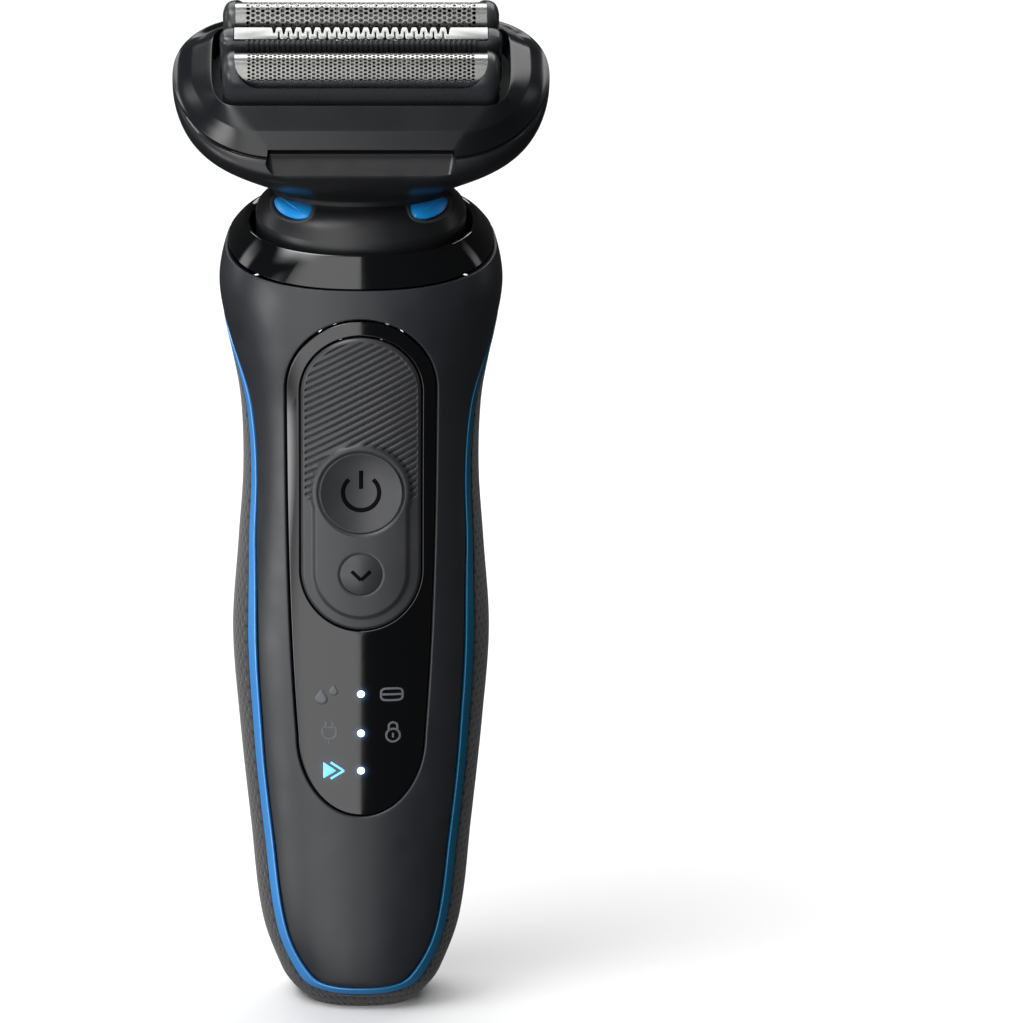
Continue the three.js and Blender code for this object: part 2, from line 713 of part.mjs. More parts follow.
// The upper cover: a ring with a glossy wall, a ridge and a slope down to the mouth.
function headFrameRing() {
  const foot = GAP - HEAD_SEAM_DROP;
  const dip = (x, y) => backDip(y);
  const land = grown(HEAD_SEAM, -2.4);
  const rings = [
    oval(HEAD_MOUTH, upright, foot),
    oval(land, upright, foot, { lift: (x) => seamLift(x, land.half) }),
    oval(HEAD_SEAM, upright, foot, { lift: (x) => seamLift(x) }),
    oval(blended(HEAD_SEAM, HEAD_RIDGE, 0.3), upright, -7.6, { lift: (x) => seamLift(x) * 0.6 }),
    oval(HEAD_RIDGE, upright, -5, { lift: dip }),
    oval(HEAD_MOUTH, upright, -3.2, { lift: dip }),
  ];
  const grip = gripCut(2.4).transform(new THREE.Matrix4().copy(headFrame).invert().elements);
  return cut(solid(skin(rings, true)), grip);
}

function bladeCarrier() {
  const shape = outline(25, 12, 12.6, 12, 2.4);
  const plate = formOf([[shape, upright, -10.6], [shape, upright, -9.7]], 24);
  const slots = ROWS.map(({ y }) => block([-2.8, y - 2, -12], [2.8, y + 2, -8]));
  return cut(plate, ...slots);
}

// ---------------------------------------------------------------- shaving head: elements

const ROWS = [
  { name: "front", y: -ELEMENT_PITCH },
  { name: "trimmer", y: 0 },
  { name: "rear", y: ELEMENT_PITCH },
];

// Arch outline in Y and Z, round on top and straight down to a foot.
function archShape(radius, foot) {
  const shape = new THREE.Shape();
  shape.moveTo(radius, foot);
  shape.lineTo(radius, 0);
  shape.absarc(0, 0, radius, 0, Math.PI);
  shape.lineTo(-radius, foot);
  return shape;
}

// A foil's plastic frame: a flared outer wall, a thin inner wall and two rounded end caps.
function foilFrame() {
  const outerWall = polygon([[-3.7, -7], [-3, -7], [-3, -1.7], [-3.3, -1.7], [-3.7, -3.6]]);
  const innerWall = polygon([[3, -7], [3.3, -7], [3.3, -1.9], [3, -1.9]]);
  const cap = archShape(3.3, -7);
  const inner = FOIL_HALF + GAP;
  const ends = [[-ELEMENT_HALF, -inner], [inner, ELEMENT_HALF]];
  return join(
    alongX(outerWall, -FOIL_HALF - 0.6, FOIL_HALF + 0.6),
    alongX(innerWall, -ELEMENT_HALF, ELEMENT_HALF),
    ...ends.map(([low, high]) => alongX(cap, low, high, 6)),
  );
}

function foil() {
  const foot = -2.2;
  const outer = alongX(archShape(FOIL_RADIUS, foot), -FOIL_HALF, FOIL_HALF, 7);
  const inner = alongX(archShape(FOIL_RADIUS - FOIL_THICKNESS, foot - 1), -FOIL_HALF - 1, FOIL_HALF + 1, 7);
  return cut(outer, inner);
}

// Arched blades standing on a carrier bar, with a hole for the driver's post.
function cutterBlock() {
  const half = 18;
  const blades = cut(alongX(archShape(2.1, -1.2), -half, half, 4), alongX(archShape(1.2, -3), -half - 1, half + 1, 3));
  const bar = block([-half, -2.1, -4.8], [half, 2.1, -1.1]);
  const pitch = 3.6;
  const slots = [];
  for (let x = -half + 0.8; x < half - 1; x += pitch) {
    slots.push([[x, -3, -0.9], [x + 2, 3, 3]]);
  }
  return cut(slottedX(join(blades, bar), slots), barZ(0.95, -6, -1, 0, 0, 14));
}

function trimmerFrame() {
  const walls = [-1, 1].map((side) =>
    block([-ELEMENT_HALF, Math.min(side * 1.5, side * 2), -7], [ELEMENT_HALF, Math.max(side * 1.5, side * 2), 1.4]),
  );
  const inner = FOIL_HALF + GAP + 0.1;
  const cap = new THREE.Shape().absellipse(0, 1.2, 2, 1.4, 0, Math.PI).lineTo(-2, -7).lineTo(2, -7);
  const ends = [[-ELEMENT_HALF, -inner], [inner, ELEMENT_HALF]];
  return join(...walls, ...ends.map(([low, high]) => alongX(cap, low, high, 6)));
}

function trimmerComb() {
  const plate = block([-FOIL_HALF, -1.3, 2], [FOIL_HALF, 1.3, 2.6]);
  const slots = [];
  for (let i = -9; i <= 9; i++) {
    const x = i * 1.5;
    const [near, far] = i % 2 ? [-2, 0.4] : [-0.4, 2];
    slots.push([[x - 0.3, near, 1], [x + 0.3, far, 4]]);
  }
  return slottedX(plate, slots);
}

function trimmerCutter() {
  const bar = block([-17.5, -1.1, -4.8], [17.5, 1.1, 1.7]);
  const slots = [];
  for (let x = -15.6; x < 15; x += 2.4) slots.push([[x, -2, 0], [x + 1.2, 2, 3]]);
  return cut(slottedX(bar, slots), barZ(0.95, -6, -1, 0, 0, 14));
}

function cutterDriver() {
  const bar = block([-5, -8, -12.7], [5, 8, -11.5]);
  const posts = ROWS.map(({ y }) => barZ(0.8, -11.6, -3, 0, y, 14));
  const fork = block([-4.2, -11.5, -17.5], [4.2, -4.6, -12.6]);
  const slot = block([-PIN_RADIUS - 0.15, -13, -19], [PIN_RADIUS + 0.15, 0, -13.4]);
  return join(bar, ...posts, cut(fork, slot));
}

// ---------------------------------------------------------------- assembly

function mesh(name, look, shape) {
  const geometry = shape.isBufferGeometry ? shape : surface(shape);
  const made = new THREE.Mesh(geometry, new THREE.MeshStandardMaterial(LOOKS[look]));
  made.name = name;
  return made;
}

function handleGroup() {
  const group = new THREE.Group();
  const add = (name, look, shape) => group.add(mesh(name, look, shape));
  const shell = handleShell();
  add("front_shell", "shell", frontShell(shell));
  add("rear_shell", "grip", rearShell(shell));
  add("accent_strip", "accent", accentStrip());
  add("collar_ring", "gloss", collarRing());
  add("neck_cap", "head", neckCap());
  add("neck_seal", "rubber", neckSeal());
  add("control_panel", "gloss", controlPanel());
  add("keypad", "keypad", keypad());
  add("power_button", "keypad", pushButton(POWER, 0.8));
  add("mode_button", "keypad", pushButton(MODE, -0.45));
  add("circuit_board", "board", circuitBoard());
  add("controller_chip", "inner", block([-3.5, -11.8, 60], [3.5, BOARD.front - GAP, 67]));
  add("power_switch", "steel", tactSwitch(POWER.z));
  add("mode_switch", "steel", tactSwitch(MODE.z));
  for (const [name, x, z] of LAMPS) {
    add(name, "clear", block([x - 0.8, -11.8, z - 0.8], [x + 0.8, BOARD.front - GAP, z + 0.8]));
  }
  add("light_guide", "clear", lightGuide());
  add("board_screw_upper", "steel", boardScrew(BOARD_SCREWS[0]));
  add("board_screw_lower", "steel", boardScrew(BOARD_SCREWS[1]));
  add("chassis", "inner", chassis());
  add("battery_cell", "cell", batteryCell());
  add("battery_tab_upper", "steel", batteryTab(BATTERY.high, -6));
  add("battery_tab_lower", "steel", batteryTab(BATTERY.low - 0.5, 6));
  add("motor_can", "steel", motorCan());
  add("motor_endcap", "inner", motorEndcap());
  add("motor_mount", "rubber", motorMount());
  add("rotor", "brass", rotor());
  add("eccentric", "brass", eccentric());
  add("drive_bridge", "inner", driveBridge());
  add("charging_socket", "inner", chargingSocket());
  const sides = { left: -1, right: 1 };
  for (const [word, side] of Object.entries(sides)) {
    add(`bridge_spring_${word}`, "steel", bridgeSpring(side));
    add(`socket_pin_${word}`, "brass", barZ(0.8, 5.6, 10.4, 2 * side, 0, 12));
    add(`rear_contact_${word}`, "steel", barY(1.6, 12.6, backAt(108) + 0.1, 5 * side, 108, 14));
    add(`release_button_${word}`, "release", releaseButton(side));
    add(`neck_screw_${word}`, "steel", neckScrew(side));
  }
  add("head_housing", "head", headHousing());
  return group;
}

function headGroup() {
  const group = new THREE.Group();
  group.position.copy(HEAD_ORIGIN);
  group.rotation.x = HEAD_TILT;
  group.add(mesh("head_frame", "gloss", headFrameRing()));
  group.add(mesh("blade_carrier", "inner", bladeCarrier()));
  group.add(mesh("cutter_driver", "inner", cutterDriver()));
  for (const { name, y } of ROWS) {
    const row = new THREE.Group();
    row.position.y = y;
    if (name === "trimmer") {
      row.add(mesh("trimmer_frame", "head", trimmerFrame()));
      row.add(mesh("trimmer_comb", "steel", trimmerComb()));
      row.add(mesh("trimmer_cutter", "steel", trimmerCutter()));
    } else {
      if (name === "rear") row.rotation.z = Math.PI;
      row.add(mesh(`${name}_foil_frame`, "head", foilFrame()));
      row.add(mesh(`${name}_foil`, "steel", foil()));
      row.add(mesh(`${name}_cutter`, "steel", cutterBlock()));
    }
    row.add(mesh(`${name}_spring`, "steel", coil(1.35, 0.18, -11.0, -5.3, 3, 0, 0)));
    group.add(row);
  }
  return group;
}

const shaver = new THREE.Group();
shaver.add(handleGroup(), headGroup());
const bounds = new THREE.Box3().setFromObject(shaver);
shaver.position.y = -(bounds.min.y + bounds.max.y) / 2;

export default shaver;
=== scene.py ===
import math

import bmesh
import bpy
import numpy as np
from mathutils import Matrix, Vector
from mathutils.bvhtree import BVHTree
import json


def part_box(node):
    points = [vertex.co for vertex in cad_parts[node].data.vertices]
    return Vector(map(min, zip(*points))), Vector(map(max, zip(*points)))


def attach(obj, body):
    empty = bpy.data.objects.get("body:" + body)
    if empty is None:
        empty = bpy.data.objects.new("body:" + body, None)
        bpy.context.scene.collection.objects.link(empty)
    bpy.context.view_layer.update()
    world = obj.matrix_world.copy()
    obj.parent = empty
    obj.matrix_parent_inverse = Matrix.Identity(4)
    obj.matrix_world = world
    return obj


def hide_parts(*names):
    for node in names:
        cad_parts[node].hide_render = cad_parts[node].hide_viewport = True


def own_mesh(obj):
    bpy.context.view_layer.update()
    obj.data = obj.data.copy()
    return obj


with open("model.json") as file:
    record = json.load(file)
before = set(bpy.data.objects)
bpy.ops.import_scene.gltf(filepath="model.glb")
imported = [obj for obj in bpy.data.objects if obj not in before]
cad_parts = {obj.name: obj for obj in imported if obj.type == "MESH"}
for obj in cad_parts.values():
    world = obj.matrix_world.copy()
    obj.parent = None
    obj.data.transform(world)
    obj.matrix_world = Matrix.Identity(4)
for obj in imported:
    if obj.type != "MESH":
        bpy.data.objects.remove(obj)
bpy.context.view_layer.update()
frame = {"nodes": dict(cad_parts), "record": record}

# Lengths are in millimetres in the handle's own frame, as in the CAD source, and turn into metres
# only where a mesh is made. The handle's axis stands a little behind the part's origin.
MM = 0.001
CELL_Y = 1.5
cell_low, cell_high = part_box("battery_cell")
AXIS_Y = (cell_low.y + cell_high.y) / 2 / MM - CELL_Y

# ---------------------------------------------------------------- dimensions shared with the CAD

# They are the CAD's, apart from the widest section's back depth and HEAD_SEAM's half width. Those
# stay a little inside, because the CAD's faceted housings do so too.

GAP = 0.3
SQUARENESS = 2.35
# Rows of height, half width, front depth and back depth.
SECTIONS = np.array([
    [0, 9.0, 8.0, 8.0],
    [2, 11.2, 9.5, 9.5],
    [5, 13.2, 11.3, 11.2],
    [14, 16.3, 13.1, 12.9],
    [30, 18.1, 14.2, 14.2],
    [48, 19.9, 15.2, 15.2],
    [63, 20.9, 15.8, 15.2],
    [78, 19.9, 15.7, 14.2],
    [90, 19.1, 15.6, 13.8],
    [102, 19.5, 16.1, 14.8],
    [112, 21.3, 17.3, 16.6],
    [121, 22.8, 18.0, 17.82],
    [128, 21.6, 17.5, 17.7],
    [134, 18.8, 16.0, 16.2],
])
COLLAR_Z = 127.8
RIM_Z = 131.2
NECK_TILT = math.radians(14)
RIM_TILT = math.radians(10.5)
SEAT_TILT = math.radians(6)
COLLAR_TILT = math.radians(15.2)
NECK_TOP = np.array([0, -1.5, 135.8])
HEAD_ORIGIN = np.array([0, -6, 160.3])
HEAD_TILT = math.radians(33)
SEAM_DROP = 9
# The parting line in side view: depth and height.
PARTING = np.array([
    [-14.0, 3.6],
    [-10.8, 4.2],
    [-10.0, 8],
    [-9.9, 20],
    [-10.1, 40],
    [-10.8, 64],
    [-9.3, 82],
    [-8.8, 96],
    [-7.9, 105],
    [-5.3, 111.5],
    [0, 116],
    [8, 119.5],
    [22, 122],
])
STRIP_WIDTH = 2.0
PANEL = {"radius": 12, "top": 105.9, "foot": 48, "foot_half": 10.2, "foot_drop": 13.1}
KEYPAD = {"radius": 9.6, "top": 105.6, "bottom": 76.3}
# Keys: a depth above zero is a dish, below zero a dome, and sink is where the rim stands.
POWER = {"z": 89.4, "radius": 6.7, "depth": 1.35, "corner": 0.2, "sink": -0.75}
MODE = {"z": 76, "radius": 3.4, "depth": -0.75, "corner": 0.15, "sink": -0.85}
PLATEAU = {"half": 7.2, "foot": 76.3, "width": 0.8, "height": 0.55}
LAMPS = [(0, 55.7), (0, 49.0), (0, 42.6)]
RELEASE_FACE = np.array([11.9, -8.3, 135.0])
RELEASE_AIM = np.array([0.72, -0.58, 0.38]) / np.linalg.norm([0.72, -0.58, 0.38])
RELEASE_LONG = 4.2
RELEASE_SHORT = 1.8
RELEASE_SPIN = math.radians(-32)
FOIL_RADIUS = 2.7
FOIL_HALF = 20.1
FOIL_FOOT = -2.2
ELEMENT_HALF = 22.4
ELEMENT_PITCH = 5.8


def shape(half, straight, front, back, power, back_power=None):
    """An outline across the neck or head: half width, straight middle, depths and squareness."""
    return np.array([half, straight, front, back, power, back_power or power], float)


COLLAR_EDGE = shape(21.3, 0, 18.2, 17.2, 2.35)
COLLAR_RIM = shape(18.6, 0, 15.9, 15.6, 2.2)
NECK_BASE = shape(16.9, 0, 14.4, 14.2, 2.2)
SEAT = shape(14.4, 0, 9.6, 10.4, 2.1)
FOOT = shape(14.2, 0, 8.8, 10.2, 2.1)
SPIGOT = shape(9, 0, 7.2, 7.2, 2)
HEAD_SEAM = shape(30.1, 13, 16.8, 15.4, 2, 2.3)
HEAD_RIDGE = shape(27.1, 16, 14.6, 13.2, 2, 3)
HEAD_MOUTH = shape(23.7, 19, 10.35, 10.9, 3.2)

# ---------------------------------------------------------------- materials


class Look:
    """A node material that is filled in step by step."""

    def __init__(self, name, color, roughness, **values):
        self.material = bpy.data.materials.new(name)
        self.material.use_nodes = True
        self.tree = self.material.node_tree
        self.shader = self.tree.nodes["Principled BSDF"]
        self.set(**{"Base Color": (*color, 1), "Roughness": roughness})
        self.set(**values)

    def set(self, **values):
        for name, value in values.items():
            self.shader.inputs[name].default_value = value
        return self

    def add(self, kind, **inputs):
        node = self.tree.nodes.new(kind)
        for name, value in inputs.items():
            where = node.inputs[int(name[1:])] if name[0] == "_" else node.inputs[name]
            if isinstance(value, bpy.types.NodeSocket):
                self.tree.links.new(value, where)
            else:
                where.default_value = value
        return node

    def math(self, operation, a, b=0.0, c=0.0):
        node = self.add("ShaderNodeMath", _0=a, _1=b, _2=c)
        node.operation = operation
        return node.outputs[0]

    def coordinates(self, kind="Object"):
        return self.add("ShaderNodeTexCoord").outputs[kind]

    def noise(self, scale, detail=3.0, roughness=0.6, stretch=(1, 1, 1)):
        mapping = self.add("ShaderNodeMapping", Vector=self.coordinates(), Scale=stretch)
        values = {"Scale": scale, "Detail": detail, "Roughness": roughness}
        return self.add("ShaderNodeTexNoise", Vector=mapping.outputs[0], **values).outputs[0]

    def spread(self, value, low, high, to_low, to_high):
        names = ["From Min", "From Max", "To Min", "To Max"]
        inputs = dict(zip(names, [low, high, to_low, to_high]))
        return self.add("ShaderNodeMapRange", Value=value, **inputs).outputs[0]

    def roughen(self, value, low, high):
        self.link(self.spread(value, 0.3, 0.7, low, high), "Roughness")
        return self

    def tint(self, value, dark, light, low=0.3, high=0.7):
        share = self.spread(value, low, high, 0, 1)
        mix = self.add("ShaderNodeMix", _0=share)
        mix.data_type = "RGBA"
        mix.inputs[6].default_value = (*dark, 1)
        mix.inputs[7].default_value = (*light, 1)
        self.link(mix.outputs[2], "Base Color")
        return self

    def bump(self, value, depth_mm, strength=1.0):
        node = self.add("ShaderNodeBump", Height=value, Distance=depth_mm * MM, Strength=strength)
        linked = self.shader.inputs["Normal"].links
        if linked:
            self.tree.links.new(linked[0].from_socket, node.inputs["Normal"])
        self.link(node.outputs[0], "Normal")
        return self

    def link(self, output, name):
        self.tree.links.new(output, self.shader.inputs[name])


def moulded(name, color, roughness, grain_mm=0.25, depth_mm=0.012, sheen=0.0, **values):
    """Moulded plastic: a fine spark-eroded grain, slow variation of tone and of gloss."""
    look = Look(name, color, roughness, **values)
    slow = look.noise(60, 3)
    grain = look.noise(1 / (grain_mm * MM), 2)
    light = tuple(min(1, c * 1.12) for c in color)
    dark = tuple(c * 0.9 for c in color)
    look.tint(slow, dark, light)
    look.roughen(look.noise(240, 4), roughness - 0.05, roughness + 0.06)
    look.bump(grain, depth_mm)
    if sheen:
        look.set(**{"Sheen Weight": sheen, "Sheen Roughness": 0.4})
    return look


def polished(name, color, roughness=0.06, **values):
    """Polished lacquer: almost flat, with faint smears in its gloss."""
    look = Look(name, color, roughness, **values)
    look.roughen(look.noise(90, 4, stretch=(1, 1, 0.4)), roughness, roughness + 0.05)
    look.tint(look.noise(40, 2), tuple(c * 0.94 for c in color), tuple(c * 1.06 for c in color))
    look.bump(look.noise(500, 2), 0.0015)
    return look


def metal(name, color, roughness, grain=(60, 1, 1), depth_mm=0.004):
    """Drawn or ground metal with fine lines across its grain direction."""
    look = Look(name, color, roughness, Metallic=1.0)
    lines = look.noise(900, 3, stretch=grain)
    look.roughen(lines, roughness - 0.06, roughness + 0.1)
    look.tint(look.noise(150, 3), tuple(c * 0.88 for c in color), color)
    look.bump(lines, depth_mm)
    return look


shell_look = moulded("shell_plastic", (0.0222, 0.0237, 0.028), 0.38, 0.16, 0.006)
shell_look.set(**{"Coat Weight": 0.12, "Coat Roughness": 0.3})
gloss_look = polished("gloss_black", (0.0032, 0.0035, 0.004), 0.045)
gloss_look.set(**{"Coat Weight": 0.5, "Coat Roughness": 0.03})
keypad_look = moulded("keypad_plastic", (0.042, 0.043, 0.047), 0.38, 0.2, 0.008)
head_look = moulded("head_plastic", (0.0105, 0.011, 0.0125), 0.34, 0.2, 0.006)
head_gloss_look = polished("head_gloss", (0.008, 0.0086, 0.0102), 0.2)
neck_look = moulded("neck_plastic", (0.011, 0.0115, 0.013), 0.36, 0.2, 0.008)
bezel_look = moulded("bezel_plastic", (0.05, 0.052, 0.056), 0.4, 0.2, 0.004)
release_look = polished("release_lacquer", (0.014, 0.36, 0.95), 0.3)
release_look.set(**{"Coat Weight": 0.25, "Coat Roughness": 0.3})
steel_look = metal("steel", (0.62, 0.62, 0.61), 0.3)
cutter_look = metal("cutter_steel", (0.1, 0.1, 0.1), 0.35, depth_mm=0.001)
brass_look = metal("brass", (0.7, 0.52, 0.25), 0.3)
foil_look = metal("foil_steel", (0.42, 0.42, 0.405), 0.26, (1, 20, 20), 0.001)
trimmer_look = metal("trimmer_steel", (0.42, 0.42, 0.41), 0.34, (1, 30, 30), 0.001)
inner_look = moulded("inner_plastic", (0.05, 0.054, 0.062), 0.55)
board_look = moulded("board_lacquer", (0.015, 0.1, 0.04), 0.4, 0.5, 0.01)
cell_look = moulded("cell_sleeve", (0.08, 0.25, 0.45), 0.35, 0.8, 0.004)
seal_look = moulded("seal_rubber", (0.012, 0.012, 0.013), 0.75, 0.3, 0.02, sheen=0.3)
element_look = moulded("element_plastic", (0.034, 0.0355, 0.04), 0.28, 0.25, 0.001)
mark_look = moulded("mark_print", (0.0012, 0.0012, 0.0015), 0.7, 0.4, 0.002)
mark_look.set(**{"Specular IOR Level": 0.08})
icon_look = moulded("icon_print", (0.12, 0.125, 0.14), 0.5, 0.4, 0.001)


def accent_with_painted_shade():
    """Blue metallic lacquer with painted light and shade: lighter on the left flank, where the light falls,
    and deeper towards the right one.
    """
    look = Look("accent_lacquer_painted_shade", (0.03, 0.2, 0.75), 0.3, Metallic=0.35)
    look.set(**{"Coat Weight": 0.35, "Coat Roughness": 0.15})
    # painted shade: the colour follows x, light blue on the left flank and dark blue on the right
    x = look.add("ShaderNodeSeparateXYZ", Vector=look.coordinates()).outputs[0]
    flake = look.noise(5000, 1)
    painted_shade_share = look.math("MULTIPLY_ADD", flake, 0.001, x)
    look.tint(painted_shade_share, (0.09, 0.36, 0.86), (0.004, 0.15, 0.28), -0.014, 0.02)
    look.roughen(look.noise(120, 2), 0.27, 0.33)
    look.bump(flake, 0.0004)
    return look


def grip_with_painted_shade():
    """Soft-touch rubber with small round dimples in staggered rows, laid out on the piece's UVs. The dimples
    are bumped in and also painted darker, a painted shade in their hollows.
    """
    pitch = 1.65
    look = Look("grip_rubber_painted_shade", (0.034, 0.035, 0.037), 0.58)
    look.set(**{"Sheen Weight": 0.25, "Sheen Roughness": 0.5})
    uv = look.add("ShaderNodeSeparateXYZ", Vector=look.coordinates("UV"))
    across = look.math("DIVIDE", uv.outputs[0], pitch * MM)
    along = look.math("DIVIDE", uv.outputs[1], pitch * MM * 0.78)
    row = look.math("FLOOR", along)
    odd = look.math("MULTIPLY", look.math("MODULO", row, 2.0), 0.5)
    cell_x = look.math("SUBTRACT", look.math("FRACT", look.math("ADD", across, odd)), 0.5)
    cell_z = look.math("SUBTRACT", look.math("FRACT", along), 0.5)
    cell_z = look.math("MULTIPLY", cell_z, 0.78)
    square = look.math("ADD", look.math("MULTIPLY", cell_x, cell_x), look.math("MULTIPLY", cell_z, cell_z))
    distance = look.math("SQRT", square)
    dimple_and_painted_shade = look.spread(distance, 0.14, 0.27, 0, 1)
    # painted shade: the dimples' hollows are coloured darker than the rubber round them
    mix = look.add("ShaderNodeMix", _0=dimple_and_painted_shade)
    mix.data_type = "RGBA"
    mix.inputs[6].default_value = (0.014, 0.0145, 0.016, 1)
    mix.inputs[7].default_value = (0.04, 0.041, 0.0435, 1)
    look.link(mix.outputs[2], "Base Color")
    look.roughen(look.noise(500, 3), 0.5, 0.68)
    look.bump(look.noise(5000, 2), 0.012)
    look.bump(dimple_and_painted_shade, 0.16)
    return look


def glowing(name, color, strength):
    look = Look(name, color, 0.4, **{"Emission Strength": strength})
    look.set(**{"Emission Color": (*color, 1)})
    glow = look.noise(900, 2)
    look.roughen(glow, 0.35, 0.5)
    return look


def panel_finish():
    """Gloss black window that the lamps behind it light up softly round themselves."""
    look = polished("panel_gloss", (0.0032, 0.0035, 0.004), 0.04)
    look.set(**{"Coat Weight": 0.5, "Coat Roughness": 0.03})
    position = look.coordinates()
    total = 0.0
    for (x, z), reach, power in [(lamp, 0.8, 0.25) for lamp in LAMPS] + [((-4.9, LAMPS[2][1]), 1.5, 0.1)]:
        flat = look.add("ShaderNodeVectorMath", _0=position, _1=(1, 0, 1))
        flat.operation = "MULTIPLY"
        away = look.add("ShaderNodeVectorMath", _0=flat.outputs[0], _1=(x * MM, 0, z * MM))
        away.operation = "DISTANCE"
        share = look.math("DIVIDE", away.outputs["Value"], reach * MM)
        fall = look.math("POWER", math.e, look.math("MULTIPLY", look.math("MULTIPLY", share, share), -1.0))
        total = look.math("MULTIPLY_ADD", fall, power, total)
    look.link(total, "Emission Strength")
    look.set(**{"Emission Color": (0.12, 0.42, 0.95, 1)})
    return look


accent_look = accent_with_painted_shade()
grip_look = grip_with_painted_shade()
panel_look = panel_finish()
lamp_look = glowing("lamp_white", (0.9, 0.96, 1.0), 3.0)
arrow_look = glowing("arrow_cyan", (0.12, 0.5, 1.0), 1.6)

# ---------------------------------------------------------------- mesh helpers


def to_world(points):
    return (np.asarray(points, float).reshape(-1, 3) + [0, AXIS_Y, 0]) * MM


def grid_faces(rows, cols, wrap_rows=False, wrap_cols=False, start=0):
    faces = []
    for i in range(rows if wrap_rows else rows - 1):
        low = start + i * cols
        high = start + (i + 1) % rows * cols
        for j in range(cols if wrap_cols else cols - 1):
            k = (j + 1) % cols
            faces.append((low + j, low + k, high + k, high + j))
    return faces


class Body:
    """Points and faces gathered from several grids."""

    def __init__(self):
        self.points = []
        self.faces = []

    def grid(self, points, wrap_rows=False, wrap_cols=False):
        rows, cols = points.shape[:2]
        self.faces += grid_faces(rows, cols, wrap_rows, wrap_cols, len(self.points))
        self.points += points.reshape(-1, 3).tolist()
        return self

    def cap(self, ring):
        """A fan over a ring, with its middle point."""
        start = len(self.points)
        count = len(ring)
        self.points += ring.tolist() + [ring.mean(0).tolist()]
        self.faces += [(start + j, start + (j + 1) % count, start + count) for j in range(count)]
        return self

    def mirrored(self):
        start = len(self.points)
        self.points += [(-x, y, z) for x, y, z in self.points]
        self.faces += [tuple(start + k for k in reversed(face)) for face in self.faces]
        return self


def make(name, body, look, outward=None, weld=0.002):
    """A smooth mesh object. outward, a point, turns an open sheet's faces away from it."""
    mesh = bpy.data.meshes.new(name)
    mesh.from_pydata(to_world(body.points).tolist(), [], body.faces)
    work = bmesh.new()
    work.from_mesh(mesh)
    bmesh.ops.remove_doubles(work, verts=work.verts, dist=weld * MM)
    bmesh.ops.dissolve_degenerate(work, edges=work.edges, dist=weld * MM * 0.5)
    bmesh.ops.recalc_face_normals(work, faces=work.faces)
    if outward is not None:
        work.normal_update()
        total = 0.0
        for face in work.faces:
            centre = face.calc_center_median()
            away = centre - Vector(to_world(outward(np.array(centre) / MM - [0, AXIS_Y, 0]))[0])
            total += face.normal.dot(away) * face.calc_area()
        if total < 0:
            bmesh.ops.reverse_faces(work, faces=work.faces)
    work.to_mesh(mesh)
    work.free()
    mesh.materials.append(look.material)
    obj = bpy.data.objects.new(name, mesh)
    bpy.context.scene.collection.objects.link(obj)
    smooth(obj)
    return obj


def capped(name, rings, look, **values):
    """A skin over rings, closed by a fan over the first and the last one."""
    body = Body().grid(np.array(rings), wrap_cols=True).cap(rings[0]).cap(rings[-1])
    return make(name, body, look, **values)


def hoop(name, rings, look):
    """A skin over rings that goes on from the last one to the first."""
    return make(name, Body().grid(np.array(rings), wrap_rows=True, wrap_cols=True), look)


def joined(*axes):
    """Points from their coordinates, any of which may be one number for all of them."""
    return np.stack(np.broadcast_arrays(*axes), -1)


def arc(x, z, radius, start, end, count):
    """A stretch of a circle in front view."""
    a = np.linspace(start, end, count)
    return joined(x + radius * np.cos(a), z + radius * np.sin(a))


def smooth(obj, angle=40):
    obj.data.polygons.foreach_set("use_smooth", [True] * len(obj.data.polygons))
    obj.data.set_sharp_from_angle(angle=math.radians(angle))


def settle(obj, angle=40):
    """Turns an object's modifiers into its mesh."""
    bpy.context.view_layer.update()
    graph = bpy.context.evaluated_depsgraph_get()
    made = bpy.data.meshes.new_from_object(obj.evaluated_get(graph))
    obj.modifiers.clear()
    obj.data = made
    smooth(obj, angle)
    return obj


def solidify(obj, thickness):
    modifier = obj.modifiers.new("thickness", "SOLIDIFY")
    modifier.thickness = thickness * MM
    modifier.offset = -1
    return obj


def bevel(obj, width, segments=3, angle=40):
    modifier = obj.modifiers.new("edges", "BEVEL")
    modifier.width = width * MM
    modifier.segments = segments
    modifier.limit_method = "ANGLE"
    modifier.angle_limit = math.radians(angle)
    return obj


def carve(obj, *cutters):
    """Cuts other objects out of one and removes them."""
    for cutter in cutters:
        modifier = obj.modifiers.new("cut", "BOOLEAN")
        modifier.object = cutter
        modifier.solver = "EXACT"
    settle(obj)
    for cutter in cutters:
        bpy.data.objects.remove(cutter)
    return obj


def place(obj, body, slot, *nodes):
    """States which body a piece rides on and the CAD nodes it stands for; slot is not used."""
    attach(obj, body)
    if nodes:
        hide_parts(*nodes)
    return obj


def on_axis(point):
    """The place on the handle's axis beside a point."""
    return np.array([0, 0, point[2]])


def behind(point):
    """A place inside the handle, behind a point on its front."""
    return np.array([point[0], point[1] + 5, point[2]])


# ---------------------------------------------------------------- the handle's surface


def hermite(t, here, there, leave, arrive):
    """A cubic stretch between two values with the given slopes at its ends."""
    return (
        (2 * t**3 - 3 * t**2 + 1) * here + (t**3 - 2 * t**2 + t) * leave
        + (3 * t**2 - 2 * t**3) * there + (t**3 - t**2) * arrive
    )


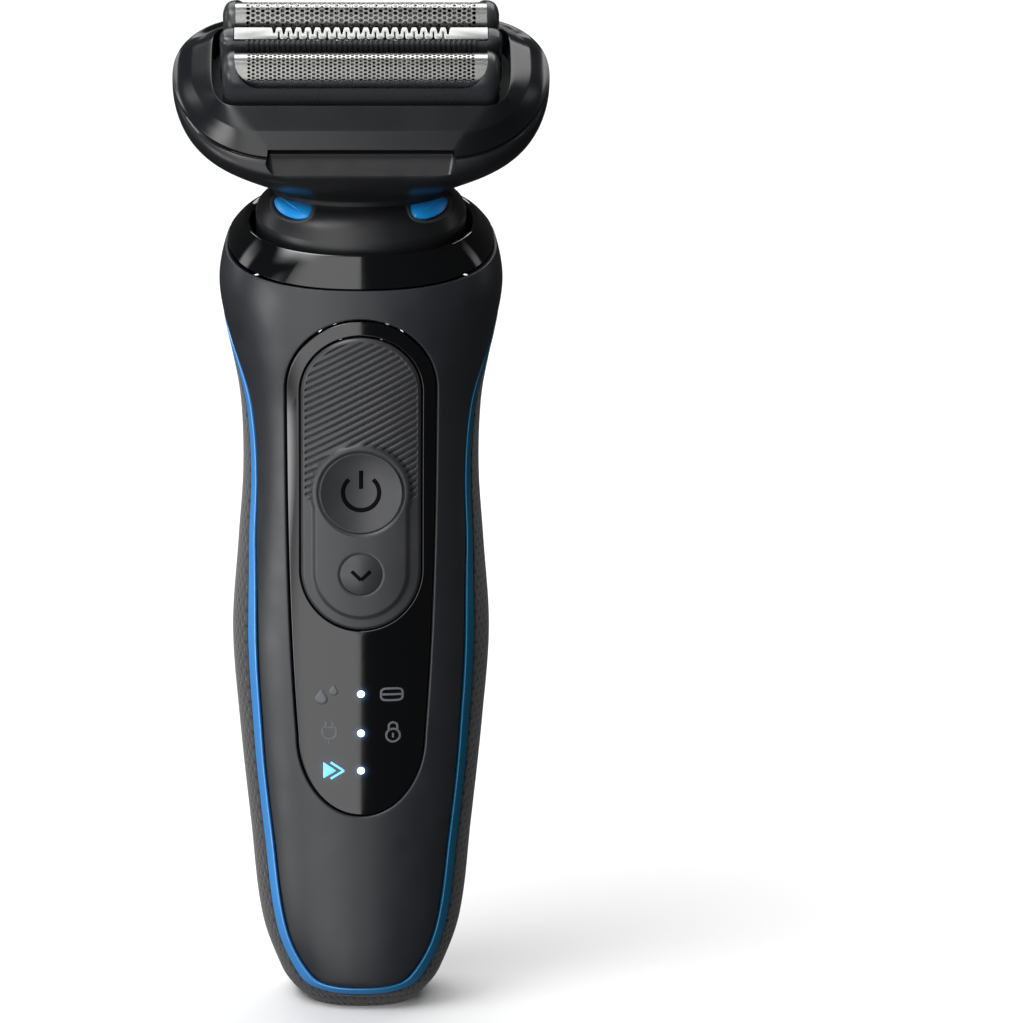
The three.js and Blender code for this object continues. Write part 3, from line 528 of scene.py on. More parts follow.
def hermite_table(rows, heights):
    """The columns of a table at any height, smooth through its rows."""
    out = []
    for z in heights:
        i = int(np.clip(np.searchsorted(rows[:, 0], z) - 1, 0, len(rows) - 2))
        here, there = rows[i], rows[i + 1]
        before, after = rows[max(i - 1, 0)], rows[min(i + 2, len(rows) - 1)]
        step = there[0] - here[0]
        t = (z - here[0]) / step
        leave = (there - before) / (there[0] - before[0]) * step
        arrive = (after - here) / (after[0] - here[0]) * step
        out.append(hermite(t, here, there, leave, arrive)[1:])
    return np.array(out)


TABLE_Z = np.linspace(0, SECTIONS[-1, 0], 1341)
TABLE = hermite_table(SECTIONS, TABLE_Z)


def section(z):
    """Half width, front depth and back depth at heights."""
    return [np.interp(z, TABLE_Z, TABLE[:, k]) for k in range(3)]


def surface(turn, z, offset=0.0):
    """Points on the handle. turn runs from the front (0) over the right flank to the back (pi)."""
    turn, z = np.broadcast_arrays(np.asarray(turn, float), np.asarray(z, float))
    half, front, back = section(z)
    c, s = np.cos(turn), np.sin(turn)
    power = 2 / SQUARENESS
    depth = np.where(c > 0, -(front + offset), back + offset)
    x = (half + offset) * np.sign(s) * np.abs(s) ** power
    return np.stack([x, depth * np.abs(c) ** power, z], -1)


def turn_of(points):
    """The turn at which points near the surface lie."""
    half, front, back = section(points[..., 2])
    depth = np.where(points[..., 1] < 0, front, back)
    c = np.abs(points[..., 1] / depth) ** (SQUARENESS / 2)
    s = np.abs(points[..., 0] / half) ** (SQUARENESS / 2)
    return np.arctan2(s, np.where(points[..., 1] < 0, c, -c))


def surface_normal(turn, z):
    step = 0.02
    half, front, back = section(z)
    point = surface(turn, z)
    depth = np.where(point[..., 1] < 0, front, back)
    power = SQUARENESS
    gx = np.sign(point[..., 0]) * np.abs(point[..., 0] / half) ** (power - 1) / half
    gy = np.sign(point[..., 1]) * np.abs(point[..., 1] / depth) ** (power - 1) / depth
    def level(at):
        h, f, b = section(at)
        d = np.where(point[..., 1] < 0, f, b)
        return np.abs(point[..., 0] / h) ** power + np.abs(point[..., 1] / d) ** power
    gz = (level(z + step) - level(z - step)) / (2 * step) / power
    normal = np.stack([gx, gy, gz], -1)
    return normal / np.linalg.norm(normal, axis=-1, keepdims=True)


def front_face(x, z, offset=0.0):
    """Points on the front of the handle above a place in front view."""
    half, front, _ = section(z)
    share = np.clip(np.abs(x) / (half + offset), 0, 1) ** SQUARENESS
    y = -(front + offset) * (1 - share) ** (1 / SQUARENESS)
    return joined(x, y, z)


def resample(curve, count, spacing=None):
    """A polyline at equal steps of its length, or at the given shares of it."""
    steps = np.linalg.norm(np.diff(curve, axis=0), axis=1)
    length = np.concatenate([[0], np.cumsum(steps)])
    at = np.linspace(0, 1, count) if spacing is None else spacing
    return np.stack([np.interp(at * length[-1], length, curve[:, k]) for k in range(curve.shape[1])], -1)


def spline(points, count):
    """A smooth curve through points, or a smooth skin through rings."""
    out = []
    last = len(points) - 1
    for t in np.linspace(0, last, count):
        i = min(int(t), last - 1)
        before, here = points[max(i - 1, 0)], points[i]
        there, after = points[i + 1], points[min(i + 2, last)]
        out.append(hermite(t - i, here, there, (there - before) / 2, (after - here) / 2))
    return np.array(out)


def parting(offset, count=360):
    """The parting line on the surface, from the front's middle over the right flank to the back's:
    an array of turn and height."""
    line = spline(PARTING, 1500)
    along = np.gradient(line, axis=0)
    along /= np.linalg.norm(along, axis=1, keepdims=True)
    moved = line + offset * np.stack([along[:, 1], -along[:, 0]], -1)
    y, z = moved[:, 0], moved[:, 1]
    half, front, back = section(z)
    share = np.where(y < 0, -y / front, y / back)
    inside = np.where(share < 1)[0]
    first, last = inside[0], inside[-1]
    def crossing(a, b):
        w = (1 - share[a]) / (share[b] - share[a])
        return z[a] + w * (z[b] - z[a])
    turn = np.arccos(np.clip(np.where(y < 0, 1, -1) * np.abs(share) ** (SQUARENESS / 2), -1, 1))
    curve = np.stack([turn[first:last + 1], z[first:last + 1]], -1)
    start = [0, crossing(first - 1, first)]
    end = [math.pi, crossing(last + 1, last)]
    curve = np.vstack([start, curve, end])
    points = surface(curve[:, 0], curve[:, 1])
    steps = np.concatenate([[0], np.cumsum(np.linalg.norm(np.diff(points, axis=0), axis=1))])
    at = np.linspace(0, steps[-1], count)
    return np.stack([np.interp(at, steps, curve[:, k]) for k in range(2)], -1)


def collar_line(drop=0.0, count=120):
    """Where the collar's plane cuts the surface, from the front's middle to the back's."""
    turn = np.linspace(0, math.pi, count)
    z = np.full(count, COLLAR_Z)
    for _ in range(30):
        z = COLLAR_Z - drop + surface(turn, z)[:, 1] * math.tan(COLLAR_TILT)
    return np.stack([turn, z], -1)


def border_frame(curve, side):
    """Points, outward surface normals and the directions out over a border, for a curve of turn and
    height. side is 1 or -1 and says on which hand of the curve the outside lies."""
    points = surface(curve[:, 0], curve[:, 1])
    normal = surface_normal(curve[:, 0], curve[:, 1])
    along = np.gradient(points, axis=0)
    along /= np.linalg.norm(along, axis=1, keepdims=True)
    out = side * np.cross(normal, along)
    for k in (0, -1):
        if abs(points[k, 0]) < 0.02:
            out[k, 0] = 0
    out /= np.linalg.norm(out, axis=1, keepdims=True)
    return points, normal, out


def inset(curve, side, radius):
    points, _, out = border_frame(curve, side)
    moved = points - out * radius
    moved[[0, -1], 0] = np.where(np.abs(points[[0, -1], 0]) < 0.02, 0, moved[[0, -1], 0])
    turn = turn_of(moved)
    z = moved[:, 2]
    return np.stack([turn, z], -1)


def lip(curve, side, radius, depth, offset=0.0, steps=4):
    """A rounded edge from the inset curve over the border and down the wall beside it."""
    _, normal, out = border_frame(curve, side)
    inner = inset(curve, side, radius)
    base = surface(inner[:, 0], inner[:, 1], offset)
    base[np.abs(base[:, 0]) < 0.01, 0] = 0
    rows = []
    for angle in np.linspace(0, math.pi / 2, steps + 1):
        rows.append(base - normal * radius * (1 - math.cos(angle)) + out * radius * math.sin(angle))
    rows.append(rows[-1] - normal * depth)
    return np.array(rows)


def between(first, second, columns, offset=0.0):
    """Surface points between two curves of turn and height, in a number of columns or at shares."""
    share = np.linspace(0, 1, columns) if isinstance(columns, int) else columns
    mixed = first[:, None] + (second - first)[:, None] * share[None, :, None]
    return surface(mixed[..., 0], mixed[..., 1], offset)


EDGE = 0.28  # rounding of the housings' edges
SMALL_EDGE = 0.1
LIP_DEPTH = 0.7


def panel_outline(grow, count=240):
    """Right half of the panel's outline in front view, from bottom to top: x and z."""
    half, foot = PANEL["radius"] + grow, PANEL["foot_half"] + grow
    a = np.linspace(-math.pi / 2, 0, 80)
    low = np.stack([foot * np.cos(a), PANEL["foot"] + (PANEL["foot_drop"] + grow) * np.sin(a)], -1)
    t = np.linspace(0, 1, 80)[1:, None]
    side = (1 - t) ** 2 * low[-1] + 2 * t * (1 - t) * [half, 72] + t**2 * [half, PANEL["top"]]
    high = arc(0, PANEL["top"], half, 0, math.pi / 2, 80)[1:]
    return resample(np.vstack([low, side, high]), count)


def keypad_outline(grow, count=240):
    """Right half of the keypad's outline in front view, from bottom to top."""
    radius = KEYPAD["radius"] + grow
    low = arc(0, KEYPAD["bottom"], radius, -math.pi / 2, 0, 80)
    high = arc(0, KEYPAD["top"], radius, 0, math.pi / 2, 80)
    return resample(np.vstack([low, high]), count)


def as_turns(outline):
    """A front-view outline as a curve of turn and height."""
    points = front_face(outline[:, 0], outline[:, 1])
    return np.stack([turn_of(points), outline[:, 1]], -1)


def part_of(curve, first, last, count):
    """A stretch of a curve between two shares of its points, resampled by its surface length."""
    dense = curve[int(round(first * (len(curve) - 1))):int(round(last * (len(curve) - 1))) + 1]
    points = surface(dense[:, 0], dense[:, 1])
    steps = np.concatenate([[0], np.cumsum(np.linalg.norm(np.diff(points, axis=0), axis=1))])
    at = np.linspace(0, steps[-1], count)
    return np.stack([np.interp(at, steps, dense[:, k]) for k in range(2)], -1)


def share_at(curve, column, value):
    """The share of a curve's points at which a column first passes a value."""
    return float(np.argmax(curve[:, column] >= value)) / (len(curve) - 1)


KNEE_Z = 112  # on the parting line: the field beside the window below it, the band to the collar above


def front_shell():
    """The front cover: a field round the panel's window and a band up to the collar behind it."""
    body = Body()
    line = parting(0, 2400)
    window = as_turns(panel_outline(GAP, 1200))
    collar = collar_line(0, 1200)
    knee = share_at(line, 1, KNEE_Z)
    turn_knee = line[int(knee * (len(line) - 1)), 0]
    collar_knee = share_at(collar, 0, turn_knee)
    rows_low, rows_top = 220, 60
    outer_line = part_of(line, 0, knee, rows_low)
    outer_collar = part_of(collar, 0, collar_knee, rows_top)
    knee_rows = 24
    inner_line = inset(outer_line, -1, EDGE)
    inner_collar = inset(outer_collar, 1, SMALL_EDGE)
    cut = np.linspace(0, 1, knee_rows)[:, None]
    join_line = inner_line[-1] + (inner_collar[-1] - inner_line[-1]) * cut
    window_share = [0, 0.80, 0.86, 1]
    window_low = part_of(window, 0, window_share[1], rows_low)
    window_mid = part_of(window, window_share[1], window_share[2], knee_rows)
    window_top = part_of(window, window_share[2], 1, rows_top)[::-1]
    whole_window = np.vstack([window_low, window_mid[1:], window_top[::-1][1:]])
    inner_window = inset(whole_window, 1, EDGE)
    low_end, mid_end = rows_low, rows_low + knee_rows - 1
    even = np.linspace(0, 1, 26)
    ease = 0.5 * (0.5 - 0.5 * np.cos(math.pi * even)) + 0.5 * even
    body.grid(between(inner_window[:low_end], inner_line, ease))
    body.grid(between(inner_window[low_end - 1:mid_end], join_line, ease))
    body.grid(between(inner_window[mid_end - 1:], inner_collar[::-1], ease))
    back_rows = 110
    back_line = inset(part_of(line, knee, 1, back_rows), -1, EDGE)
    back_collar = inset(part_of(collar, collar_knee, 1, back_rows), 1, SMALL_EDGE)
    back_line[0], back_collar[0] = inner_line[-1], inner_collar[-1]
    body.grid(between(back_line, back_collar, knee_rows))
    line_lip = lip(outer_line, -1, EDGE, LIP_DEPTH)
    back_lip = lip(part_of(line, knee, 1, back_rows), -1, EDGE, LIP_DEPTH)
    back_lip[:, 0] = line_lip[:, -1]
    body.grid(line_lip)
    body.grid(back_lip)
    collar_lip = lip(outer_collar, 1, SMALL_EDGE, LIP_DEPTH)
    back_collar_lip = lip(part_of(collar, collar_knee, 1, back_rows), 1, SMALL_EDGE, LIP_DEPTH)
    back_collar_lip[:, 0] = collar_lip[:, -1]
    body.grid(collar_lip)
    body.grid(back_collar_lip)
    body.grid(lip(whole_window, 1, EDGE, LIP_DEPTH))
    body.mirrored()
    obj = make("front_cover", body, shell_look, on_axis, weld=0.01)
    solidify(obj, 0.5)
    return place(obj, "handle", "shell", "front_shell")


def strip_loop():
    """The blue strip that runs along the parting line, as one loop."""
    body = Body()
    count = 420
    near = parting(GAP, count)
    far = parting(STRIP_WIDTH - GAP, count)
    radius = 0.16
    body.grid(between(inset(near, 1, radius), inset(far, -1, radius), 8, offset=0.1))
    body.grid(lip(near, 1, radius, 0.5, offset=0.1))
    body.grid(lip(far, -1, radius, 0.5, offset=0.1))
    body.mirrored()
    obj = make("accent_loop", body, accent_look, on_axis, weld=0.01)
    solidify(obj, 0.4)
    return place(obj, "handle", "accent", "accent_strip")


GRIP_UNROLL = 15.5  # radius at which the rear cover is unrolled for its dimples
CONTACT_HOLE = {"radius": 2.0, "half": 5, "z": 108}


def rear_shell():
    """The rubber rear cover, with its floor round the socket's hole."""
    body = Body()
    line = parting(STRIP_WIDTH, 2400)
    rows = [70, 210]
    split = share_at(line, 1, 9)
    low, high = part_of(line, 0, split, rows[0]), part_of(line, split, 1, rows[1])
    whole = np.vstack([low, high[1:]])
    inner = inset(whole, 1, EDGE)
    base_turn = np.linspace(0, math.pi, rows[0])
    base = np.stack([base_turn, np.zeros(rows[0])], -1)
    spine_z = np.linspace(0, 100, rows[1])
    spine = np.stack([np.full(rows[1], math.pi), spine_z], -1)
    inner_side = np.vstack([base, spine[1:]])
    body.grid(between(inner, inner_side, 40))
    body.grid(lip(whole, 1, EDGE, LIP_DEPTH))
    ring = surface(base_turn, np.zeros(rows[0]))
    hole_x, hole_y = 6.0, 4.5
    scale = 1 / np.maximum(np.abs(ring[:, 0]) / hole_x, np.abs(ring[:, 1]) / hole_y)
    hole = ring * scale[:, None]
    floor_rows = np.array([ring + (hole - ring) * t for t in np.linspace(0, 1, 6)])
    wall = hole.copy()
    wall[:, 2] += 1.5
    body.grid(np.vstack([floor_rows, wall[None]]))
    body.mirrored()
    obj = make("rear_cover", body, grip_look, on_axis, weld=0.01)
    layer = obj.data.uv_layers.new(name="grip")
    co = np.zeros(len(obj.data.vertices) * 3)
    obj.data.vertices.foreach_get("co", co)
    points = co.reshape(-1, 3) / MM - [0, AXIS_Y, 0]
    turn = turn_of(points)
    around = np.sign(points[:, 0]) * (math.pi - turn) * GRIP_UNROLL
    corner = np.zeros(len(obj.data.loops), int)
    obj.data.loops.foreach_get("vertex_index", corner)
    uv = np.stack([around * MM, points[:, 2] * MM], -1)[corner]
    layer.data.foreach_set("uv", uv.ravel())
    far = CONTACT_HOLE["half"]
    contacts = [round_bar(CONTACT_HOLE["radius"], 10, 30, x, CONTACT_HOLE["z"]) for x in (-far, far)]
    solidify(obj, 0.5)
    carve(obj, *contacts)
    return place(obj, "handle", "grip", "rear_shell")


def round_bar(radius, near, far, x, z, sides=64):
    """A round cutter along Y."""
    a = np.linspace(0, 2 * math.pi, sides, endpoint=False)
    rings = [joined(x + radius * np.cos(a), y, z + radius * np.sin(a)) for y in (near, far)]
    return capped("round_bar", rings, steel_look)


def control_panel():
    """The gloss black window round the keypad."""
    body = Body()
    outer = panel_outline(0, 1200)
    inner = keypad_outline(GAP, 1200)
    shares_outer = [0, 0.36, 0.80, 1]
    shares_inner = [0, 0.259, 0.741, 1]
    pieces = [100, 150, 110]
    rows_out, rows_in = [], []
    for k, number in enumerate(pieces):
        for shares, outline, rows in ((shares_outer, outer, rows_out), (shares_inner, inner, rows_in)):
            last = len(outline) - 1
            cut = outline[int(shares[k] * last):int(shares[k + 1] * last) + 1]
            rows.append(resample(cut, number)[0 if k == 0 else 1:])
    out_turns, in_turns = as_turns(np.vstack(rows_out)), as_turns(np.vstack(rows_in))
    radius = 0.22
    drop = -0.03
    body.grid(between(inset(out_turns, -1, radius), inset(in_turns, 1, radius), 40, offset=drop))
    body.grid(lip(out_turns, -1, radius, 0.9, offset=drop))
    body.grid(lip(in_turns, 1, radius, 0.9, offset=drop))
    body.mirrored()
    obj = make("panel_window", body, panel_look, on_axis, weld=0.005)
    solidify(obj, 0.4)
    return place(obj, "handle", "gloss_black", "control_panel")


def smoothstep(value, low, high):
    t = np.clip((value - low) / (high - low), 0, 1)
    return t * t * (3 - 2 * t)


RIB_ANGLE = math.radians(27.7)
RIB_PITCH = 1.03
SEAM = 0.06  # gap drawn round the two buttons


def keypad_height(x, z):
    """Height of the keypad's face over the handle's surface."""
    radius = KEYPAD["radius"]
    core = np.clip(z, KEYPAD["bottom"], KEYPAD["top"])
    edge = radius - np.hypot(x, z - core)
    height = 0.15 + 0.35 * smoothstep(edge, 0, 0.5) ** 0.6
    to_power = np.hypot(x, z - POWER["z"])
    plateau_core = np.clip(z, PLATEAU["foot"], POWER["z"])
    to_plateau = np.hypot(x, z - plateau_core) - PLATEAU["half"]
    ring = to_power - (POWER["radius"] + 0.95)
    rise = np.minimum(to_plateau, ring)
    lifted = 1 - smoothstep(rise, -0.15, PLATEAU["width"])
    across = -x * math.sin(RIB_ANGLE) + (z - POWER["z"]) * math.cos(RIB_ANGLE)
    wave = np.abs(np.mod(across / RIB_PITCH, 1) - 0.5) * 2
    field = smoothstep(edge, 0.55, 0.8) * smoothstep(ring, 0.15, 0.4) * smoothstep(z, 87.6, 88.4)
    grooves = 0.34 * (1 - smoothstep(wave, 0.16, 0.46)) * field
    rounded = 0.3 * (1 - smoothstep(to_power - POWER["radius"] - SEAM, 0, 0.45))
    to_mode = np.hypot(x, z - MODE["z"])
    rounded = np.maximum(rounded, 0.12 * (1 - smoothstep(to_mode - MODE["radius"] - SEAM, 0, 0.3)))
    return height + PLATEAU["height"] * lifted - grooves - rounded


KEYPAD_DEPTH = 1.3  # how far the keypad reaches in under the handle's surface
ROUND_END = 0.62  # angle over which the rows follow the keypad's round ends


def keypad():
    """The ribbed keypad with its plateau, cut out for the two keys."""
    body = Body()
    radius = KEYPAD["radius"]
    low, high = KEYPAD["bottom"] - radius, KEYPAD["top"] + radius
    ends = radius * (1 - np.cos(np.linspace(0, ROUND_END, 26)))
    straight = np.linspace(low + ends[-1], high - ends[-1], 270)
    rows = np.concatenate([low + ends[:-1], straight, high - ends[-2::-1]])
    core = np.clip(rows, KEYPAD["bottom"], KEYPAD["top"])
    width = np.sqrt(np.maximum(radius**2 - (rows - core) ** 2, 0))
    even = np.linspace(-1, 1, 171)
    columns = np.sin(math.pi / 2 * even) * 0.35 + even * 0.65
    x = width[:, None] * columns[None]
    z = np.repeat(rows[:, None], len(columns), 1)
    top = front_face(x, z)
    top[..., 1] -= keypad_height(x, z)
    body.grid(top)
    rim = np.vstack([top[:, 0], top[::-1, -1]])
    rim_low = rim.copy()
    rim_low[:, 1] = front_face(rim[:, 0], rim[:, 2])[:, 1] + KEYPAD_DEPTH
    body.grid(np.array([rim, rim_low]), wrap_cols=True)
    under = top.copy()
    under[..., 1] = front_face(x, z)[..., 1] + KEYPAD_DEPTH
    body.grid(under)
    obj = make("keypad_cover", body, keypad_look, weld=0.004)
    holes = [round_bar(item["radius"] + SEAM, -30, -10, 0, item["z"], 128) for item in (POWER, MODE)]
    carve(obj, *holes)
    return place(obj, "handle", "keypad", "keypad")


def key_face(item):
    """The depth of a round key's face, as a function of a place in front view."""
    rim = -float(section(item["z"])[1]) + item["sink"]
    flat = item["radius"] - item["corner"]

    def face(x, z):
        away = np.hypot(x, z - item["z"]) / flat
        return rim + item["depth"] * (1 - np.minimum(away**2, 1))

    return face


def button_profile(item, low):
    """Radius and height over its own rim plane of a key's face, from the middle out."""
    corner = item["corner"]
    flat = item["radius"] - corner
    r = np.linspace(0, flat, 40)
    face = item["depth"] * (1 - (r / flat) ** 2)
    a = np.linspace(0, math.pi / 2, 7)[1:]
    r = np.concatenate([r, flat + corner * np.sin(a), [item["radius"]]])
    h = np.concatenate([face, corner * (1 - np.cos(a)), [low]])
    return r, h + item["sink"]


def turned_button(name, item, look, body_name, node):
    """A round key, turned about its middle."""
    face = -float(section(item["z"])[1])
    a = np.linspace(0, 2 * math.pi, 128, endpoint=False)
    rings = []
    for radius, height in zip(*button_profile(item, 2.2)):
        rings.append(joined(radius * np.cos(a), face + height, item["z"] + radius * np.sin(a)))
    body = Body().grid(np.array(rings), wrap_cols=True).cap(rings[-1])
    obj = make(name, body, look, weld=0.003)
    return place(obj, body_name, "keypad", node)


def strip_mark(name, centre, width, face_y, look, body_name, lift=0.04):
    """A printed line of a width along a centre line in front view, laid over a face."""
    centre = np.asarray(centre, float)
    along = np.gradient(centre, axis=0)
    along /= np.linalg.norm(along, axis=1, keepdims=True)
    across = np.stack([-along[:, 1], along[:, 0]], -1) * width / 2
    rows = []
    for side in np.linspace(-1, 1, 5):
        flat = centre + across * side
        rows.append(joined(flat[:, 0], face_y(flat[:, 0], flat[:, 1]) - lift, flat[:, 1]))
    obj = make(name, Body().grid(np.array(rows)), look, weld=0.0005, outward=behind)
    solidify(obj, lift * 1.5)
    return place(obj, body_name, "keypad" if body_name != "handle" else "gloss_black")


def button_marks():
    """The power sign in the dish and the chevron on the dome."""
    dish, dome = key_face(POWER), key_face(MODE)
    middle = POWER["z"]
    ring = arc(0, middle - 0.15, 2.9, math.radians(132), math.radians(408), 90)
    strip_mark("power_ring_mark", ring, 0.68, dish, mark_look, "power_key")
    bar = np.linspace([0, middle + 0.4], [0, middle + 3.5], 20)
    strip_mark("power_bar_mark", bar, 0.68, dish, mark_look, "power_key")
    for side, word in ((-1, "left"), (1, "right")):
        arm = np.linspace([0, MODE["z"] - 0.75], [side * 1.5, MODE["z"] + 0.7], 16)
        strip_mark("chevron_" + word, arm, 0.58, dome, mark_look, "mode_key")


# ---------------------------------------------------------------- rings for the neck and head


def lean(points, origin, tilt):
    """Points tipped forward about X and moved to an origin."""
    c, s = math.cos(tilt), math.sin(tilt)
    x, y, z = points[..., 0], points[..., 1], points[..., 2]
    return np.stack([x, y * c - z * s, y * s + z * c], -1) + np.asarray(origin, float)


def oval(outline, height=0.0, lift=None, count=192):
    """A ring of an outline. lift gives what is added to its height at x and y."""
    half, straight, front, back, power, back_power = outline
    turn = 2 * math.pi * (np.arange(count) + 0.5) / count
    c, s = np.cos(turn), np.sin(turn)
    bend = np.where(s < 0, 2 / power, 2 / back_power)
    depth = np.where(s < 0, front, back)
    x = np.sign(c) * (straight + (half - straight) * np.abs(c) ** bend)
    y = np.sign(s) * depth * np.abs(s) ** bend
    z = np.full(count, float(height))
    if lift is not None:
        z = z + lift(x, y)
    return np.stack([x, y, z], -1)


def grown(outline, by):
    out = outline.copy()
    out[[0, 2, 3]] += by
    return out


def rounded_rings(rings, radii, closed=False, steps=5):
    """The rings of a skin with a rounding at each ring that has a radius."""
    out = []
    count = len(rings)
    for k, ring in enumerate(rings):
        radius = radii[k]
        if not radius or (not closed and k in (0, count - 1)):
            out.append(ring)
            continue
        before, after = rings[(k - 1) % count], rings[(k + 1) % count]
        towards = []
        for other in (before, after):
            way = other - ring
            length = np.linalg.norm(way, axis=1, keepdims=True)
            towards.append(ring + way / length * np.minimum(radius, length * 0.48))
        for t in np.linspace(0, 1, steps):
            out.append((1 - t) ** 2 * towards[0] + 2 * t * (1 - t) * ring + t**2 * towards[1])
    return out


def dense(rings, most=1.2):
    """More rings where two lie far apart."""
    out = [rings[0]]
    for a, b in zip(rings[:-1], rings[1:]):
        steps = max(1, int(np.linalg.norm(b - a, axis=1).max() / most))
        out += [a + (b - a) * t for t in np.linspace(0, 1, steps + 1)[1:]]
    return out


def on_spigot(grow, z):
    """A ring of the neck's spigot."""
    return lean(oval(grown(SPIGOT, grow), z), NECK_TOP, NECK_TILT)


def collar():
    """The gloss black band between the handle and the neck."""
    bore = grown(COLLAR_RIM, -0.8)
    mid = COLLAR_EDGE + (COLLAR_RIM - COLLAR_EDGE) * 0.42
    rings = [
        lean(oval(bore, 0.1), [0, 0, COLLAR_Z], COLLAR_TILT),
        lean(oval(COLLAR_EDGE, 0.1), [0, 0, COLLAR_Z], COLLAR_TILT),
        lean(oval(mid, 1.75), [0, 0, COLLAR_Z], COLLAR_TILT),
        lean(oval(COLLAR_RIM), [0, 0, RIM_Z], RIM_TILT),
        lean(oval(bore, -0.6), [0, 0, RIM_Z], RIM_TILT),
    ]
    rings = rounded_rings(rings, [0, 0.12, 1.6, 0.4, 0.3], closed=True, steps=7)
    obj = hoop("collar_band", rings, gloss_look)
    return place(obj, "handle", "gloss_black", "collar_ring")


def release_axes(side):
    aim = RELEASE_AIM * [side, 1, 1]
    up = Vector((0, 1, 0)).rotation_difference(Vector(aim)).to_matrix()
    spin = side * RELEASE_SPIN
    long_way = np.array(up @ Vector((math.cos(spin), 0, -math.sin(spin))))
    short_way = np.array(up @ Vector((math.sin(spin), 0, math.cos(spin))))
    return RELEASE_FACE * [side, 1, 1], long_way, short_way, aim


def release_ring(side, grow, height, count=96):
    centre, long_way, short_way, aim = release_axes(side)
    a = np.linspace(0, 2 * math.pi, count, endpoint=False)[:, None]
    return (centre + aim * height + long_way * (RELEASE_LONG + grow) * np.cos(a)
            + short_way * (RELEASE_SHORT + grow) * np.sin(a))


def neck():
    """The neck with its spigot, and the two release keys and their bezels laid on its skin."""
    inner = grown(NECK_BASE, -2)
    levels = [
        lean(oval(NECK_BASE, -3), [0, 0, COLLAR_Z], NECK_TILT),
        lean(oval(NECK_BASE, 0), [0, 0, RIM_Z], RIM_TILT),
        lean(oval(shape(16.8, 0, 14.1, 14, 2.2)), [0, -0.25, 132.6], math.radians(10)),
        lean(oval(shape(16.2, 0, 13.1, 13.1, 2.15)), [0, -0.6, 133.9], math.radians(8.5)),
        lean(oval(shape(15.3, 0, 11.4, 11.8, 2.1)), [0, -1.1, 134.9], math.radians(7)),
        lean(oval(SEAT), NECK_TOP - [0, 0, 0.3], SEAT_TILT),
        lean(oval(grown(SEAT, -2)), NECK_TOP - [0, 0, 0.05], SEAT_TILT),
    ]
    rings = [lean(oval(inner, -3), [0, 0, COLLAR_Z], NECK_TILT)] + list(spline(levels, 50))
    rings.append(lean(oval(grown(SEAT, -7)), NECK_TOP - [0, 0, 0.05], SEAT_TILT))
    obj = capped("neck_cover", rings, neck_look)
    skin = BVHTree.FromPolygons([v.co for v in obj.data.vertices], [p.vertices for p in obj.data.polygons])
    cutters = []
    for side, word in ((-1, "left"), (1, "right")):
        aim = RELEASE_AIM * [side, 1, 1]

        def seated(grow, height):
            """A ring laid on the neck's skin, moved along the button's axis by a height."""
            ring = release_ring(side, grow, 6)
            hits = [skin.ray_cast(Vector(p), Vector(-aim))[0] for p in to_world(ring)]
            return np.array(hits) / MM - [0, AXIS_Y, 0] + aim * height

        levels = [release_ring(side, GAP, -5.4), release_ring(side, GAP, 5)]
        cutters.append(capped("socket_cutter", levels, neck_look))
        levels = [release_ring(side, 0, -4), seated(0, -0.35), seated(-0.12, -0.12), seated(-0.45, 0)]
        levels += [seated(-grow, 0.05 + 0.1 * grow) for grow in (0.7, 1.0, 1.3, 1.6)]
        made = capped("release_key_" + word, levels, release_look, weld=0.0005)
        place(made, "release_" + word, "release", "release_button_" + word)
        rim = [seated(GAP - 0.1, -1.0), seated(GAP - 0.1, -0.12), seated(GAP + 0.1, 0.06)]
        rim += [seated(GAP + 0.45, 0.05), seated(GAP + 0.6, -0.2), seated(GAP + 0.5, -1.0)]
        place(hoop("release_bezel_" + word, rim, bezel_look), "handle", "head_plastic")
    carve(obj, *cutters)
    bore = -1.5
    spigot = [on_spigot(0, z) for z in (-1.2, 3.3, 3.5)] + [on_spigot(bore, z) for z in (3.5, -1.2)]
    stub = hoop("spigot", rounded_rings(spigot, [0, 0, 0.15, 0.15, 0], closed=True), neck_look)
    carve(obj, capped("well", [on_spigot(bore, z) for z in (-7, 6)], neck_look))
    obj = merged([obj, stub], "neck_cover")
    return place(obj, "handle", "head_plastic", "neck_cap")


def seam_lift(x, y, half=30.2):
    """Rise of the head's seam towards its two ends; it is the same at every y."""
    return 2 * (np.abs(x) / half) ** 6


def back_dip(x, y):
    """Fall of the head's upper edge towards the back; it is the same at every x."""
    return -3 * smoothstep(y, 4, 12)


def smooth_min(values, radius):
    """The lowest of several height fields, with a rounded change from one to the next."""
    low = values[0]
    for value in values[1:]:
        share = np.clip(0.5 + 0.5 * (value - low) / radius, 0, 1)
        low = value * (1 - share) + low * share - radius * share * (1 - share)
    return low


GRIP_FOOT = -1.5
GRIP_SKIN = 2.45
GRIP_HALF = 15.1


